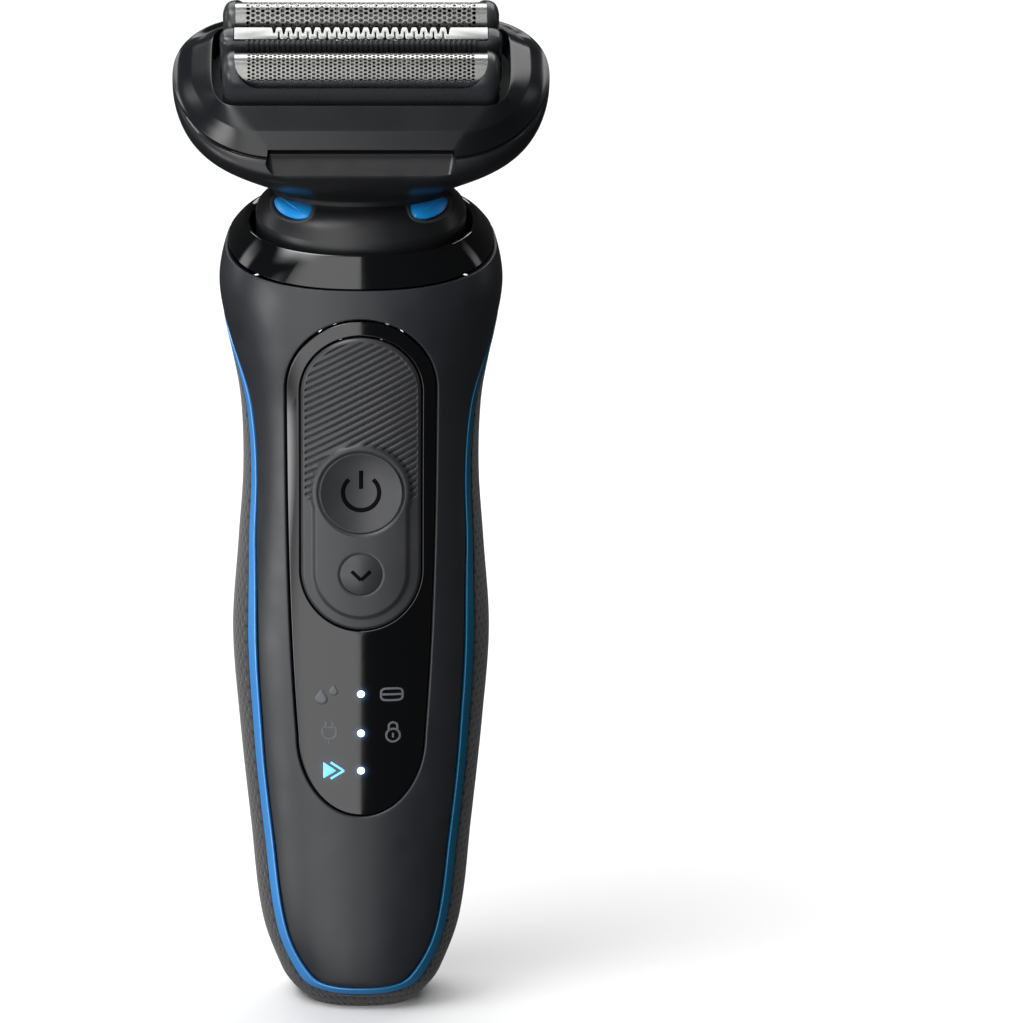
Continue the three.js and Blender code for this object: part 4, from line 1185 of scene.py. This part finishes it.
def grip_cutter(deep, ramp):
    """The finger grip's hollow, a height field in the head's frame: deep under the upper cover and
    rising down the lower one to its skin, which stands GRIP_SKIN before the seam there."""
    q = np.linspace(-3.4, 1.5, 50)
    share = np.linspace(-1, 1, 121)
    x = np.repeat(share[None] * 16.4, len(q), 0)
    q = np.repeat(q[:, None], 121, 1)
    width = GRIP_HALF + np.minimum(q, 0) * 0.9
    slope = (q - GRIP_FOOT) * ramp - GRIP_SKIN
    depth = smooth_min([slope, (width - np.abs(x)) * 5 - 1, np.full(q.shape, deep)], 0.8)
    back = np.stack([x, -HEAD_SEAM[2] + depth, q - SEAM_DROP], -1)
    front = back.copy()
    front[..., 1] = -24
    back, front = in_head(back), in_head(front)

    def edge(grid):
        return np.vstack([grid[0], grid[1:, -1], grid[-1, -2::-1], grid[-2:0:-1, 0]])

    body = Body().grid(back).grid(front).grid(np.array([edge(back), edge(front)]), wrap_cols=True)
    return make("grip_cutter", body, head_look)


BOWL_WALL = 1.6


def bowl():
    """The head's lower housing: a bowl that spreads from the neck's foot to the seam."""
    top = in_head([0, 0, -SEAM_DROP])
    start = NECK_TOP + [0, 0.3, 0.6]

    def ring(s, offset=0.0):
        spread = 1.1 * s**2 / (s + 0.1)
        fall = (1 - s) ** (1 / 2.5)
        origin = top + (start - top) * fall
        tilt = HEAD_TILT + (SEAT_TILT - HEAD_TILT) * fall**0.7
        outline = grown(FOOT + (HEAD_SEAM - FOOT) * spread, offset)
        return lean(oval(outline, 0, lambda x, y: spread**3 * seam_lift(x, y)), origin, tilt)

    def foot(grow, drop):
        return lean(oval(grown(FOOT, grow)), NECK_TOP - [0, -0.3, drop], SEAT_TILT)

    spreads = 1 - np.linspace(1, 0, 44) ** 1.9
    rings = [foot(-2.4, 0.1), foot(-0.05, 0.15)] + [ring(s) for s in spreads]
    for grow, rise in ((-0.35, 0.12), (-2, 0.1)):
        rings.append(in_head(oval(grown(HEAD_SEAM, grow), -SEAM_DROP + rise, seam_lift)))
    obj = capped("head_bowl", rings, head_look)
    inside = [ring(s, -BOWL_WALL) for s in spreads[4:]]
    inside.append(in_head(oval(grown(HEAD_SEAM, -BOWL_WALL), -SEAM_DROP + 4)))
    hollow = capped("hollow", inside, head_look)
    front = np.array([[-17, -25, -5], [17, -25, -5], [17, -25, 6], [-17, -25, 6]], float)
    front = in_head(front - [0, 0, SEAM_DROP])
    carve(hollow, prism("backing", front, row_way([0, 1, 0], 0), 0, 25 - HEAD_SEAM[2] + 3.6, head_look))
    throat = capped("throat", [on_spigot(0.5, z) for z in (-4, 8)], head_look)
    carve(obj, hollow, throat, grip_cutter(1.5, 2.3))
    return place(obj, "head", "head_plastic", "head_housing")


def head_ring():
    """The gloss upper housing round the mouth that the shaving elements stand in."""
    foot = GAP - SEAM_DROP
    land = grown(HEAD_SEAM, -2.4)
    mid = HEAD_SEAM + (HEAD_RIDGE - HEAD_SEAM) * 0.3
    rings = [
        oval(HEAD_MOUTH, foot),
        oval(land, foot, lambda x, y: seam_lift(x, y, land[0])),
        oval(HEAD_SEAM, foot, seam_lift),
        oval(mid, -7.6, lambda x, y: seam_lift(x, y) * 0.6),
        oval(HEAD_RIDGE, -5, back_dip),
        oval(HEAD_MOUTH, -3.2, back_dip),
    ]
    rings = rounded_rings(rings, [0.3, 0, 0.3, 2.2, 0.22, 0.3], closed=True, steps=8)
    rings = [in_head(ring) for ring in rings]
    obj = hoop("head_rim", dense(rings + [rings[0]], 1.0)[:-1], head_gloss_look)
    carve(obj, grip_cutter(1.7, 6.0))
    return place(obj, "head", "gloss_black", "head_frame")


# ---------------------------------------------------------------- shaving elements


def in_head(points):
    """From the head's own frame into the handle's."""
    return lean(np.asarray(points, float), HEAD_ORIGIN, HEAD_TILT)


def row_place(points, row):
    """From a row's own frame into the handle's. The rear row is turned about."""
    points = np.asarray(points, float)
    if row > 0:
        points = points * [-1, -1, 1]
    return in_head(points + [0, row * ELEMENT_PITCH, 0])


def row_way(direction, row):
    """A direction in a row's own frame, in the handle's."""
    return row_place(direction, row) - row_place([0, 0, 0], row)


def bar_along_x(name, profile, low, high, look, row, edge=0.12):
    """A bar of a section in Y and Z, with rounded edges."""
    profile = np.asarray(profile, float)
    rings = [row_place(joined(x, profile[:, 0], profile[:, 1]), row) for x in (low, high)]
    return bevel(capped(name, rings, look), edge, 3, 30)


def arch(radius, foot, count):
    """A half circle over two legs."""
    return np.vstack([[[radius, foot]], arc(0, 0, radius, 0, math.pi, count), [[-radius, foot]]])


def boat(name, look, row, half, taper, section_at):
    """A bar along X with rounded ends: section_at gives its outline in Y and Z for a width share
    and a height share."""
    rings = []
    way = np.sin(np.linspace(0, math.pi / 2, 14))
    xs = np.concatenate([-half + taper * (1 - way[::-1]), half - taper * (1 - way)])
    for x in xs:
        t = max(0.0, (abs(x) - half + taper) / taper)
        width = max(1 - t**2.6, 0.0) ** (1 / 2.6)
        tall = max(1 - (t * 0.97) ** 4, 0.0) ** (1 / 3)
        section = section_at(max(width, 0.02), tall)
        rings.append(row_place(joined(x, section[:, 0], section[:, 1]), row))
    return capped(name, rings, look)


def prism(name, outline, along, low, high, look):
    """A closed prism: an outline of points swept from low to high along a direction."""
    return capped(name, [outline + along * low, outline + along * high], look)


FRAME_HALF = 22.0
WINDOW_HALF = 20.0
WINDOW_FOOT = -3.0
SIGHT = math.radians(42)  # direction in which the windows are cut through the cassettes


def element_frame(row, word, node, body_name):
    """A cassette with rounded ends and an arched window whose lower corners are wide curves."""
    def section(width, tall):
        a = np.linspace(0, math.pi, 40)
        y = -3.35 * np.sign(np.cos(a)) * np.abs(np.cos(a)) ** 0.87
        z = -0.9 + 3.75 * tall * np.sin(a) ** 0.87
        outline = np.vstack([[[-3.6, -7]], np.stack([y, z], -1), [[3.35, -7]]])
        return outline * [width, 1]
    obj = boat(f"{word}_cassette", element_look, row, FRAME_HALF, 2.6, section)
    bore = arch(FOIL_RADIUS + 0.08, -8, 48)
    bore = row_place(joined(0, bore[:, 0], bore[:, 1]), row)
    reach = FOIL_HALF + 0.15
    tunnel = prism("bore", bore, row_way([1, 0, 0], row), -reach, reach, element_look)
    out = np.array([0, -math.sin(SIGHT), math.cos(SIGHT)])
    up = np.array([0, math.cos(SIGHT), math.sin(SIGHT)])
    a = np.linspace(-math.pi / 2, 0, 24)
    corner = np.stack([WINDOW_HALF - 3.8 + 3.8 * np.cos(a), 1.6 + (1.6 - WINDOW_FOOT) * np.sin(a)], -1)
    right = np.vstack([corner, [[WINDOW_HALF, 7]]])
    flat = np.vstack([right, (right * [-1, 1])[::-1]])
    window = flat[:, :1] * [[1, 0, 0]] + flat[:, 1:] * up
    window = row_place(window, row)
    window = prism("window", window, row_way(out, row), -1.2, 12, element_look)
    back = [[x * WINDOW_HALF, 0, z] for x, z in ((-1, 6), (1, 6), (1, -1.9), (-1, -1.9))]
    back = prism("back", row_place(back, row), row_way([0, 1, 0], row), 0, 5, element_look)
    carve(obj, tunnel, window, back)
    bevel(obj, 0.12, 3, 50)
    settle(obj)
    return place(obj, body_name, "head_plastic", node)


def merged(objects, name):
    """Several objects as one, with their modifiers applied."""
    objects = [settle(obj) for obj in objects]
    work = bmesh.new()
    look = objects[0].data.materials[0]
    for obj in objects:
        work.from_mesh(obj.data)
    mesh = bpy.data.meshes.new(name)
    work.to_mesh(mesh)
    work.free()
    mesh.materials.append(look)
    for obj in objects:
        bpy.data.objects.remove(obj)
    made = bpy.data.objects.new(name, mesh)
    bpy.context.scene.collection.objects.link(made)
    smooth(made)
    return made


def foil(row, word, node, body_name, pitch_x, pitch_s, hole):
    """An arched foil with columns of real hexagonal holes and plain ends."""
    body = Body()
    reach = FOIL_RADIUS * math.pi / 2
    field = 18.0
    corners = np.arange(6) * math.pi / 3
    side = pitch_x / 1.5
    cell = np.stack([side * np.cos(corners), pitch_s / math.sqrt(3) * np.sin(corners)], -1)
    columns = int(field / pitch_x)
    rows = int(reach / pitch_s)

    def wrap(flat):
        a = np.clip(flat[:, 1], -reach, reach) / FOIL_RADIUS
        return joined(flat[:, 0], FOIL_RADIUS * np.sin(a), FOIL_RADIUS * np.cos(a))

    def inside(point):
        return row_place(np.zeros(3), row)

    for i in range(-columns, columns + 1):
        for j in range(-rows - 1, rows + 2):
            centre = np.array([i * pitch_x, (j + (i % 2) / 2) * pitch_s])
            body.grid(np.array([wrap(centre + cell), wrap(centre + cell * hole)]), wrap_cols=True)
    body.points = row_place(np.array(body.points), row).tolist()
    obj = make(f"{word}_foil_mesh", body, foil_look, weld=0.02, outward=inside)
    solidify(obj, 0.06)
    settle(obj, 60)
    ends = []
    rim = columns * pitch_x + side * 0.6
    outer = FOIL_RADIUS + 0.02
    a = np.linspace(-math.pi / 2, math.pi / 2, 48)
    for low, high in ((-FOIL_HALF, -rim), (rim, FOIL_HALF)):
        rings = []
        for x in np.linspace(low, high, 6):
            top = joined(x, outer * np.sin(a), outer * np.cos(a))
            foot = np.array([[x, side_y * outer, FOIL_FOOT] for side_y in (-1, 1)])
            rings.append(row_place(np.vstack([foot[:1], top, foot[1:]]), row))
        band = make("foil_band", Body().grid(np.array(rings)), foil_look, outward=inside)
        ends.append(solidify(band, 0.09))
    for side_y in (-1, 1):
        y = side_y * FOIL_RADIUS
        lengthwise = np.linspace(-FOIL_HALF, FOIL_HALF, 12)
        rings = [row_place([[x, y, 0.1], [x, y, FOIL_FOOT]], row) for x in lengthwise]
        skirt = make("foil_skirt", Body().grid(np.array(rings)), foil_look, outward=inside)
        ends.append(solidify(skirt, 0.09))
    obj = merged([obj] + ends, f"{word}_foil_sheet")
    return place(obj, body_name, "foil", node)


def cutter(row, word):
    """A row of thin arched blades on a carrier."""
    carrier = [[-2.1, -4.8], [2.1, -4.8], [2.1, -0.6], [-2.1, -0.6]]
    made = [bar_along_x("carrier", carrier, -18, 18, cutter_look, row)]
    outline = arch(2.3, -0.8, 20)
    pitch, half = 1.24, 0.16
    for k in range(-14, 15):
        low, high = k * pitch - half, k * pitch + half
        made.append(bar_along_x("blade", outline, low, high, cutter_look, row, 0.02))
    obj = merged(made, f"{word}_blade_block")
    return place(obj, f"{word}_blades", "steel", f"{word}_cutter")


def trimmer_cassette():
    """The middle cassette: a channel for the trimmer, with a row of teeth before it."""
    def section(width, tall):
        a = np.linspace(0, math.pi, 24)
        y = -2.0 * np.sign(np.cos(a)) * np.abs(np.cos(a)) ** 0.6
        z = 0.6 + 1.9 * tall * np.sin(a) ** 0.6
        return np.vstack([[[-2.0, -7]], np.stack([y, z], -1), [[2.0, -7]]]) * [width, 1]
    frame_body = boat("trimmer_cassette", element_look, 0, ELEMENT_HALF, 2.4, section)
    channel = np.array([[0, -1.45, -8], [0, 1.45, -8], [0, 1.45, 4], [0, -1.45, 4]], float)
    reach = FOIL_HALF + 0.1
    carve(frame_body, prism("channel", in_head(channel), row_way([1, 0, 0], 0), -reach, reach, element_look))
    bevel(frame_body, 0.1, 2, 50)
    walls = [frame_body]
    pitch = 0.82
    tooth = [[-2.35, 0.7], [-1.9, 0.5], [-1.55, 2.6], [-1.85, 2.75], [-2.2, 2.3]]
    for k in range(-22, 23):
        x = k * pitch
        walls.append(bar_along_x("tooth", tooth, x - 0.22, x + 0.22, element_look, 0, 0.06))
    obj = merged(walls, "trimmer_cassette")
    return place(obj, "middle_element", "head_plastic", "trimmer_frame")


def trimmer_comb():
    """One strip, cut by slots from both sides in turn, so that it winds like a ribbon."""
    step = 1.53
    half = 1.3
    near, far = [[-FOIL_HALF, -half]], [[-FOIL_HALF, half]]
    for k in range(-9, 10):
        x = k * step
        if k < 9:
            low = x + step / 2
            near += [[low - 0.3, -half], [low - 0.12, -half + 0.35], [low - 0.1, 0.3], [low + 0.1, 0.3]]
            near += [[low + 0.12, -half + 0.35], [low + 0.3, -half]]
        far += [[x - 0.42, half], [x - 0.26, half - 0.5], [x - 0.13, -0.25], [x + 0.13, -0.25]]
        far += [[x + 0.26, half - 0.5], [x + 0.42, half]]
    near.append([FOIL_HALF, -half])
    far.append([FOIL_HALF, half])
    outline = np.array(near + far[::-1])
    work = bmesh.new()
    corners = row_place(np.column_stack([outline, np.full(len(outline), 2.05)]), 0)
    face = work.faces.new([work.verts.new(point) for point in to_world(corners)])
    raised = bmesh.ops.extrude_face_region(work, geom=[face])
    upper = [item for item in raised["geom"] if isinstance(item, bmesh.types.BMVert)]
    bmesh.ops.translate(work, vec=Vector(row_way([0, 0, 0.5], 0) * MM), verts=upper)
    bmesh.ops.recalc_face_normals(work, faces=work.faces)
    bmesh.ops.triangulate(work, faces=[f for f in work.faces if len(f.verts) > 4])
    mesh = bpy.data.meshes.new("trimmer_ribbon")
    work.to_mesh(mesh)
    work.free()
    mesh.materials.append(trimmer_look.material)
    plate = bpy.data.objects.new("trimmer_ribbon", mesh)
    bpy.context.scene.collection.objects.link(plate)
    bevel(plate, 0.06, 3, 30)
    settle(plate)
    return place(plate, "middle_element", "foil", "trimmer_comb")


SPRING = {"radius": 1.35, "wire": 0.18, "low": -11.0, "high": -5.3, "turns": 5, "travel": 1.5}


def element_spring(row, word):
    """A coil spring under an element."""
    share = np.linspace(0, 1, 181)
    turn = 2 * math.pi * SPRING["turns"] * share
    tall = SPRING["high"] - SPRING["low"] - 2 * SPRING["wire"]
    height = SPRING["low"] + SPRING["wire"] + tall * smoothstep(share, -0.15, 1.15)
    around = np.linspace(0, 2 * math.pi, 12, endpoint=False)
    reach = SPRING["radius"] + SPRING["wire"] * np.cos(around)
    rings = []
    for angle, level in zip(turn, height):
        x, y = reach * math.cos(angle), reach * math.sin(angle) + row * ELEMENT_PITCH
        rings.append(in_head(joined(x, y, level + SPRING["wire"] * np.sin(around))))
    obj = settle(capped(f"{word}_coil", rings, steel_look))
    place(obj, "driver", "steel", f"{word}_spring")
    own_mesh(obj)
    return obj


# ---------------------------------------------------------------- lamps and pictograms


def panel_y(x, z):
    """The depth of the panel's face."""
    return front_face(x, z, -0.03)[..., 1]


def disc_mark(name, x, z, radius, look):
    """A lamp: a round spot that bulges a little from the panel."""
    a = np.linspace(0, 2 * math.pi, 40, endpoint=False)
    rings = []
    for share in (0.01, 0.5, 0.85, 1.0):
        px, pz = x + radius * share * np.cos(a), z + radius * share * np.sin(a)
        bulge = 0.05 * (1 - share**4) + 0.015
        rings.append(joined(px, panel_y(px, pz) - bulge, pz))
    body = Body().grid(np.array(rings), wrap_cols=True).cap(rings[0])
    obj = make(name, body, look, weld=0.0005, outward=behind)
    solidify(obj, 0.03)
    return place(obj, "handle", "clear")


def filled_mark(name, centre, outline, look, slot):
    """A filled print on the panel: an outline in front view, drawn in towards its centre."""
    rings = []
    for share in (0.02, 0.5, 1):
        flat = centre + (outline - centre) * share
        rings.append(joined(flat[:, 0], panel_y(flat[:, 0], flat[:, 1]) - 0.03, flat[:, 1]))
    body = Body().grid(np.array(rings), wrap_cols=True).cap(rings[0])
    obj = make(name, body, look, weld=0.0005, outward=behind)
    solidify(obj, 0.02)
    return place(obj, "handle", slot)


def printed(name, line):
    """A thin line of a pictogram on the panel."""
    return strip_mark(name, line, 0.36, panel_y, icon_look, "handle", lift=0.02)


def closed_line(points, count):
    """An outline through points and back to the first one, at equal steps."""
    points = np.asarray(points, float)
    return resample(np.vstack([points, points[:1]]), count)


def drops():
    """Two water drops, a large and a small one."""
    t = np.linspace(0, 2 * math.pi, 60, endpoint=False)
    upper = np.sin(t) > 0
    pinch = np.where(upper, (1 - np.sin(t)) ** 0.5, 1.0)
    for letter, x, z, size in (("a", -6.4, 54.8, 1.25), ("b", -4.4, 56.1, 0.85)):
        across = x + 0.85 * size * np.cos(t) * pinch
        up = z + size * np.where(upper, 1.35, 0.8) * np.sin(t)
        filled_mark("drop_mark_" + letter, np.array([x, z]), joined(across, up), icon_look, "gloss_black")


def cassette_sign(x=5.0, z=55.6):
    """A rounded box with a bar across it."""
    a = np.linspace(0, 2 * math.pi, 80)
    across = x + 1.75 * np.sign(np.cos(a)) * np.abs(np.cos(a)) ** 0.5
    up = z + 1.0 * np.sign(np.sin(a)) * np.abs(np.sin(a)) ** 0.5
    printed("cassette_mark_ring", joined(across, up))
    printed("cassette_mark_bar", np.linspace([x - 1.7, z], [x + 1.7, z], 20))


def plug_sign(x=-5.1, z=49.1):
    """A mains plug: a cup with two prongs above and a lead below."""
    bowl_arc = arc(x, z - 0.1, 1.1, math.pi, 2 * math.pi, 30)
    cup = np.vstack([[[x - 1.1, z + 0.8]], bowl_arc, [[x + 1.1, z + 0.8]]])
    printed("plug_mark_cup", closed_line(cup, 80))
    for letter, side in (("a", -0.55), ("b", 0.55)):
        printed("plug_mark_prong_" + letter, np.linspace([x + side, z + 0.85], [x + side, z + 1.8], 10))
    printed("plug_mark_tail", np.linspace([x, z - 1.2], [x, z - 2.0], 10))


def lock_sign(x=5.2, z=48.6):
    """A padlock: a round body with its key slot under a closed bow."""
    printed("lock_mark_ring", arc(x, z, 1.1, 0, 2 * math.pi, 60))
    bow = arc(x, z + 1.5, 0.7, 0, math.pi, 40)
    bow = np.vstack([[[x + 0.7, z + 0.9]], bow, [[x - 0.7, z + 0.9]]])
    printed("lock_mark_bow", resample(bow, 50))
    printed("lock_mark_key", np.linspace([x, z - 0.4], [x, z + 0.4], 8))


def arrows(z=42.55, rise=1.4):
    """A filled arrow head and an open one behind it."""
    corner = np.array([[-6.1, z + rise], [-4.0, z], [-6.1, z - rise]])
    filled_mark("arrow_mark_a", corner.mean(0), closed_line(corner, 45)[:-1], arrow_look, "clear")
    bend = resample(np.array([[-4.9, z + rise], [-2.8, z], [-4.9, z - rise]]), 41)
    strip_mark("arrow_mark_b", bend, 0.34, panel_y, arrow_look, "handle", lift=0.03)


def marks():
    """The lamps and pictograms on the panel."""
    for k, (x, z) in enumerate(LAMPS):
        disc_mark("lamp_" + "abc"[k], x, z, 0.6, lamp_look)
    drops()
    cassette_sign()
    plug_sign()
    lock_sign()
    arrows()


# ---------------------------------------------------------------- build

front_shell()
strip_loop()
rear_shell()
collar()
neck()
control_panel()
keypad()
turned_button("power_key_cap", POWER, keypad_look, "power_key", "power_button")
turned_button("mode_key_cap", MODE, keypad_look, "mode_key", "mode_button")
button_marks()
marks()
bowl()
head_ring()
element_frame(-1, "front", "front_foil_frame", "front_element")
element_frame(1, "rear", "rear_foil_frame", "rear_element")
foil(-1, "front", "front_foil", "front_element", 0.68, 0.62, 0.65)
foil(1, "rear", "rear_foil", "rear_element", 0.78, 0.78, 0.7)
cutter(-1, "front")
cutter(1, "rear")
trimmer_cassette()
trimmer_comb()
element_spring(-1, "front")
element_spring(0, "trimmer")
element_spring(1, "rear")

LOOK_OF_SLOT = {
    "shell": shell_look, "grip": grip_look, "accent": accent_look, "gloss_black": gloss_look,
    "keypad": keypad_look, "head_plastic": head_look, "release": release_look, "foil": foil_look,
    "steel": steel_look, "brass": brass_look, "inner": inner_look, "board": board_look,
    "cell": cell_look, "seal": seal_look, "clear": glowing("lamp_body", (0.5, 0.55, 0.6), 0.0),
}
for part in frame["record"]["subparts"]:
    node = frame["nodes"][part["node"]]
    node.data.materials.clear()
    node.data.materials.append(LOOK_OF_SLOT[part["material_slot"]].material)

# ---------------------------------------------------------------- stage, light and camera

CAMERA_RISE = math.radians(15)
CAMERA_DISTANCE = 1100
CAMERA_TARGET = np.array([0, 0, 80])
LENS = 238.0645
SHIFT = (0.147116, 0.011926)  # the shaver stands left of the middle of the frame


def camera():
    data = bpy.data.cameras.new("camera")
    obj = bpy.data.objects.new("camera", data)
    bpy.context.scene.collection.objects.link(obj)
    bpy.context.scene.camera = obj
    back = np.array([0, -math.cos(CAMERA_RISE), math.sin(CAMERA_RISE)])
    obj.location = to_world(CAMERA_TARGET + CAMERA_DISTANCE * back)[0]
    obj.rotation_euler = (math.pi / 2 - CAMERA_RISE, 0, 0)
    data.sensor_width = 36
    data.lens = LENS
    data.shift_x, data.shift_y = SHIFT
    data.clip_start = 0.05
    data.clip_end = 20


def soften(data, shares):
    """Fades a card towards its left, right, lower and upper edges over a share of its size each."""
    data.use_nodes = True
    tree = data.node_tree
    spot = tree.nodes.new("ShaderNodeNewGeometry")
    axes = tree.nodes.new("ShaderNodeSeparateXYZ")
    tree.links.new(spot.outputs["Parametric"], axes.inputs[0])
    strength = None
    for k, share in enumerate(shares):
        if not share:
            continue
        ease = tree.nodes.new("ShaderNodeMapRange")
        ease.interpolation_type = "SMOOTHSTEP"
        tree.links.new(axes.outputs[k // 2], ease.inputs["Value"])
        ease.inputs["From Min"].default_value = (k % 2) * 1.0
        ease.inputs["From Max"].default_value = share if k % 2 == 0 else 1 - share
        if strength is None:
            strength = ease.outputs[0]
            continue
        product = tree.nodes.new("ShaderNodeMath")
        product.operation = "MULTIPLY"
        tree.links.new(strength, product.inputs[0])
        tree.links.new(ease.outputs[0], product.inputs[1])
        strength = product.outputs[0]
    tree.links.new(strength, tree.nodes["Emission"].inputs["Strength"])


def area_light(name, place_mm, aim_mm, size, power, soft=(0, 0, 0, 0)):
    """A card of light, unseen by the camera; soft gives the shares over which it fades out."""
    data = bpy.data.lights.new(name, "AREA")
    data.shape = "RECTANGLE"
    data.size, data.size_y = size[0] * MM, size[1] * MM
    data.energy = power
    obj = bpy.data.objects.new(name, data)
    bpy.context.scene.collection.objects.link(obj)
    obj.location = Vector(place_mm) * MM
    way = Vector(aim_mm) - Vector(place_mm)
    obj.rotation_euler = way.to_track_quat("-Z", "Y").to_euler()
    obj.visible_camera = False
    if any(soft):
        soften(data, soft)
    return obj


def stage():
    """A pale floor that bends up into a wall behind the shaver."""
    floor = Body()
    size, bend, rise = 2500, 900, 3000
    line = [(-1500, 0)]
    for a in np.linspace(0, math.pi / 2, 24):
        line.append((size - bend + bend * math.sin(a), bend - bend * math.cos(a)))
    line.append((size, rise))
    rows = np.array([[[x, y, z] for y, z in line] for x in np.linspace(-3500, 3500, 8)])
    look = Look("floor_paper", (0.9, 0.9, 0.9), 0.9)
    look.tint(look.noise(3, 2), (0.89, 0.89, 0.89), (0.91, 0.91, 0.91))
    obj = make("floor", floor.grid(rows), look)
    obj.visible_glossy = False
    obj.visible_diffuse = False
    obj.visible_shadow = False
    return obj


stage()
camera()
area_light("front_left", (-900, -1250, 150), (-900, 0, 150), (1800, 3800), 43, (0.6, 0, 0.15, 0.22))
area_light("far_left", (-2000, -1250, 400), (-2000, 0, 400), (1400, 2500), 8, (0.4, 0.4, 0.3, 0.3))
area_light("top_left", (-650, -450, 1300), (-450, -250, 0), (1200, 1200), 46, (0.4, 0.4, 0.4, 0.4))
area_light("low_left", (-1500, -800, -350), (0, 0, 120), (1100, 1100), 22, (0.4, 0.4, 0.4, 0.4))
area_light("right_edge", (1300, 350, 400), (0, 0, 90), (300, 1300), 1.2, (0.3, 0.3, 0.3, 0.3))
area_light("left_edge", (-1300, 350, 400), (0, 0, 90), (500, 1300), 4, (0.3, 0.3, 0.3, 0.3))
area_light("floor_wash", (200, 1100, 1900), (200, 1100, 0), (3000, 1500), 51)
world = bpy.data.worlds.new("studio")
bpy.context.scene.world = world
world.use_nodes = True
world_tree = world.node_tree
sky = world_tree.nodes["Background"]
sky.inputs[0].default_value = (1, 1, 1, 1)
ray = world_tree.nodes.new("ShaderNodeLightPath")
level = world_tree.nodes.new("ShaderNodeMapRange")
world_tree.links.new(ray.outputs["Is Camera Ray"], level.inputs["Value"])
level.inputs["To Min"].default_value = 0.03
level.inputs["To Max"].default_value = 1.0
world_tree.links.new(level.outputs[0], sky.inputs[1])
bpy.context.scene.view_settings.view_transform = "Standard"

bpy.context.view_layer.update()
import json
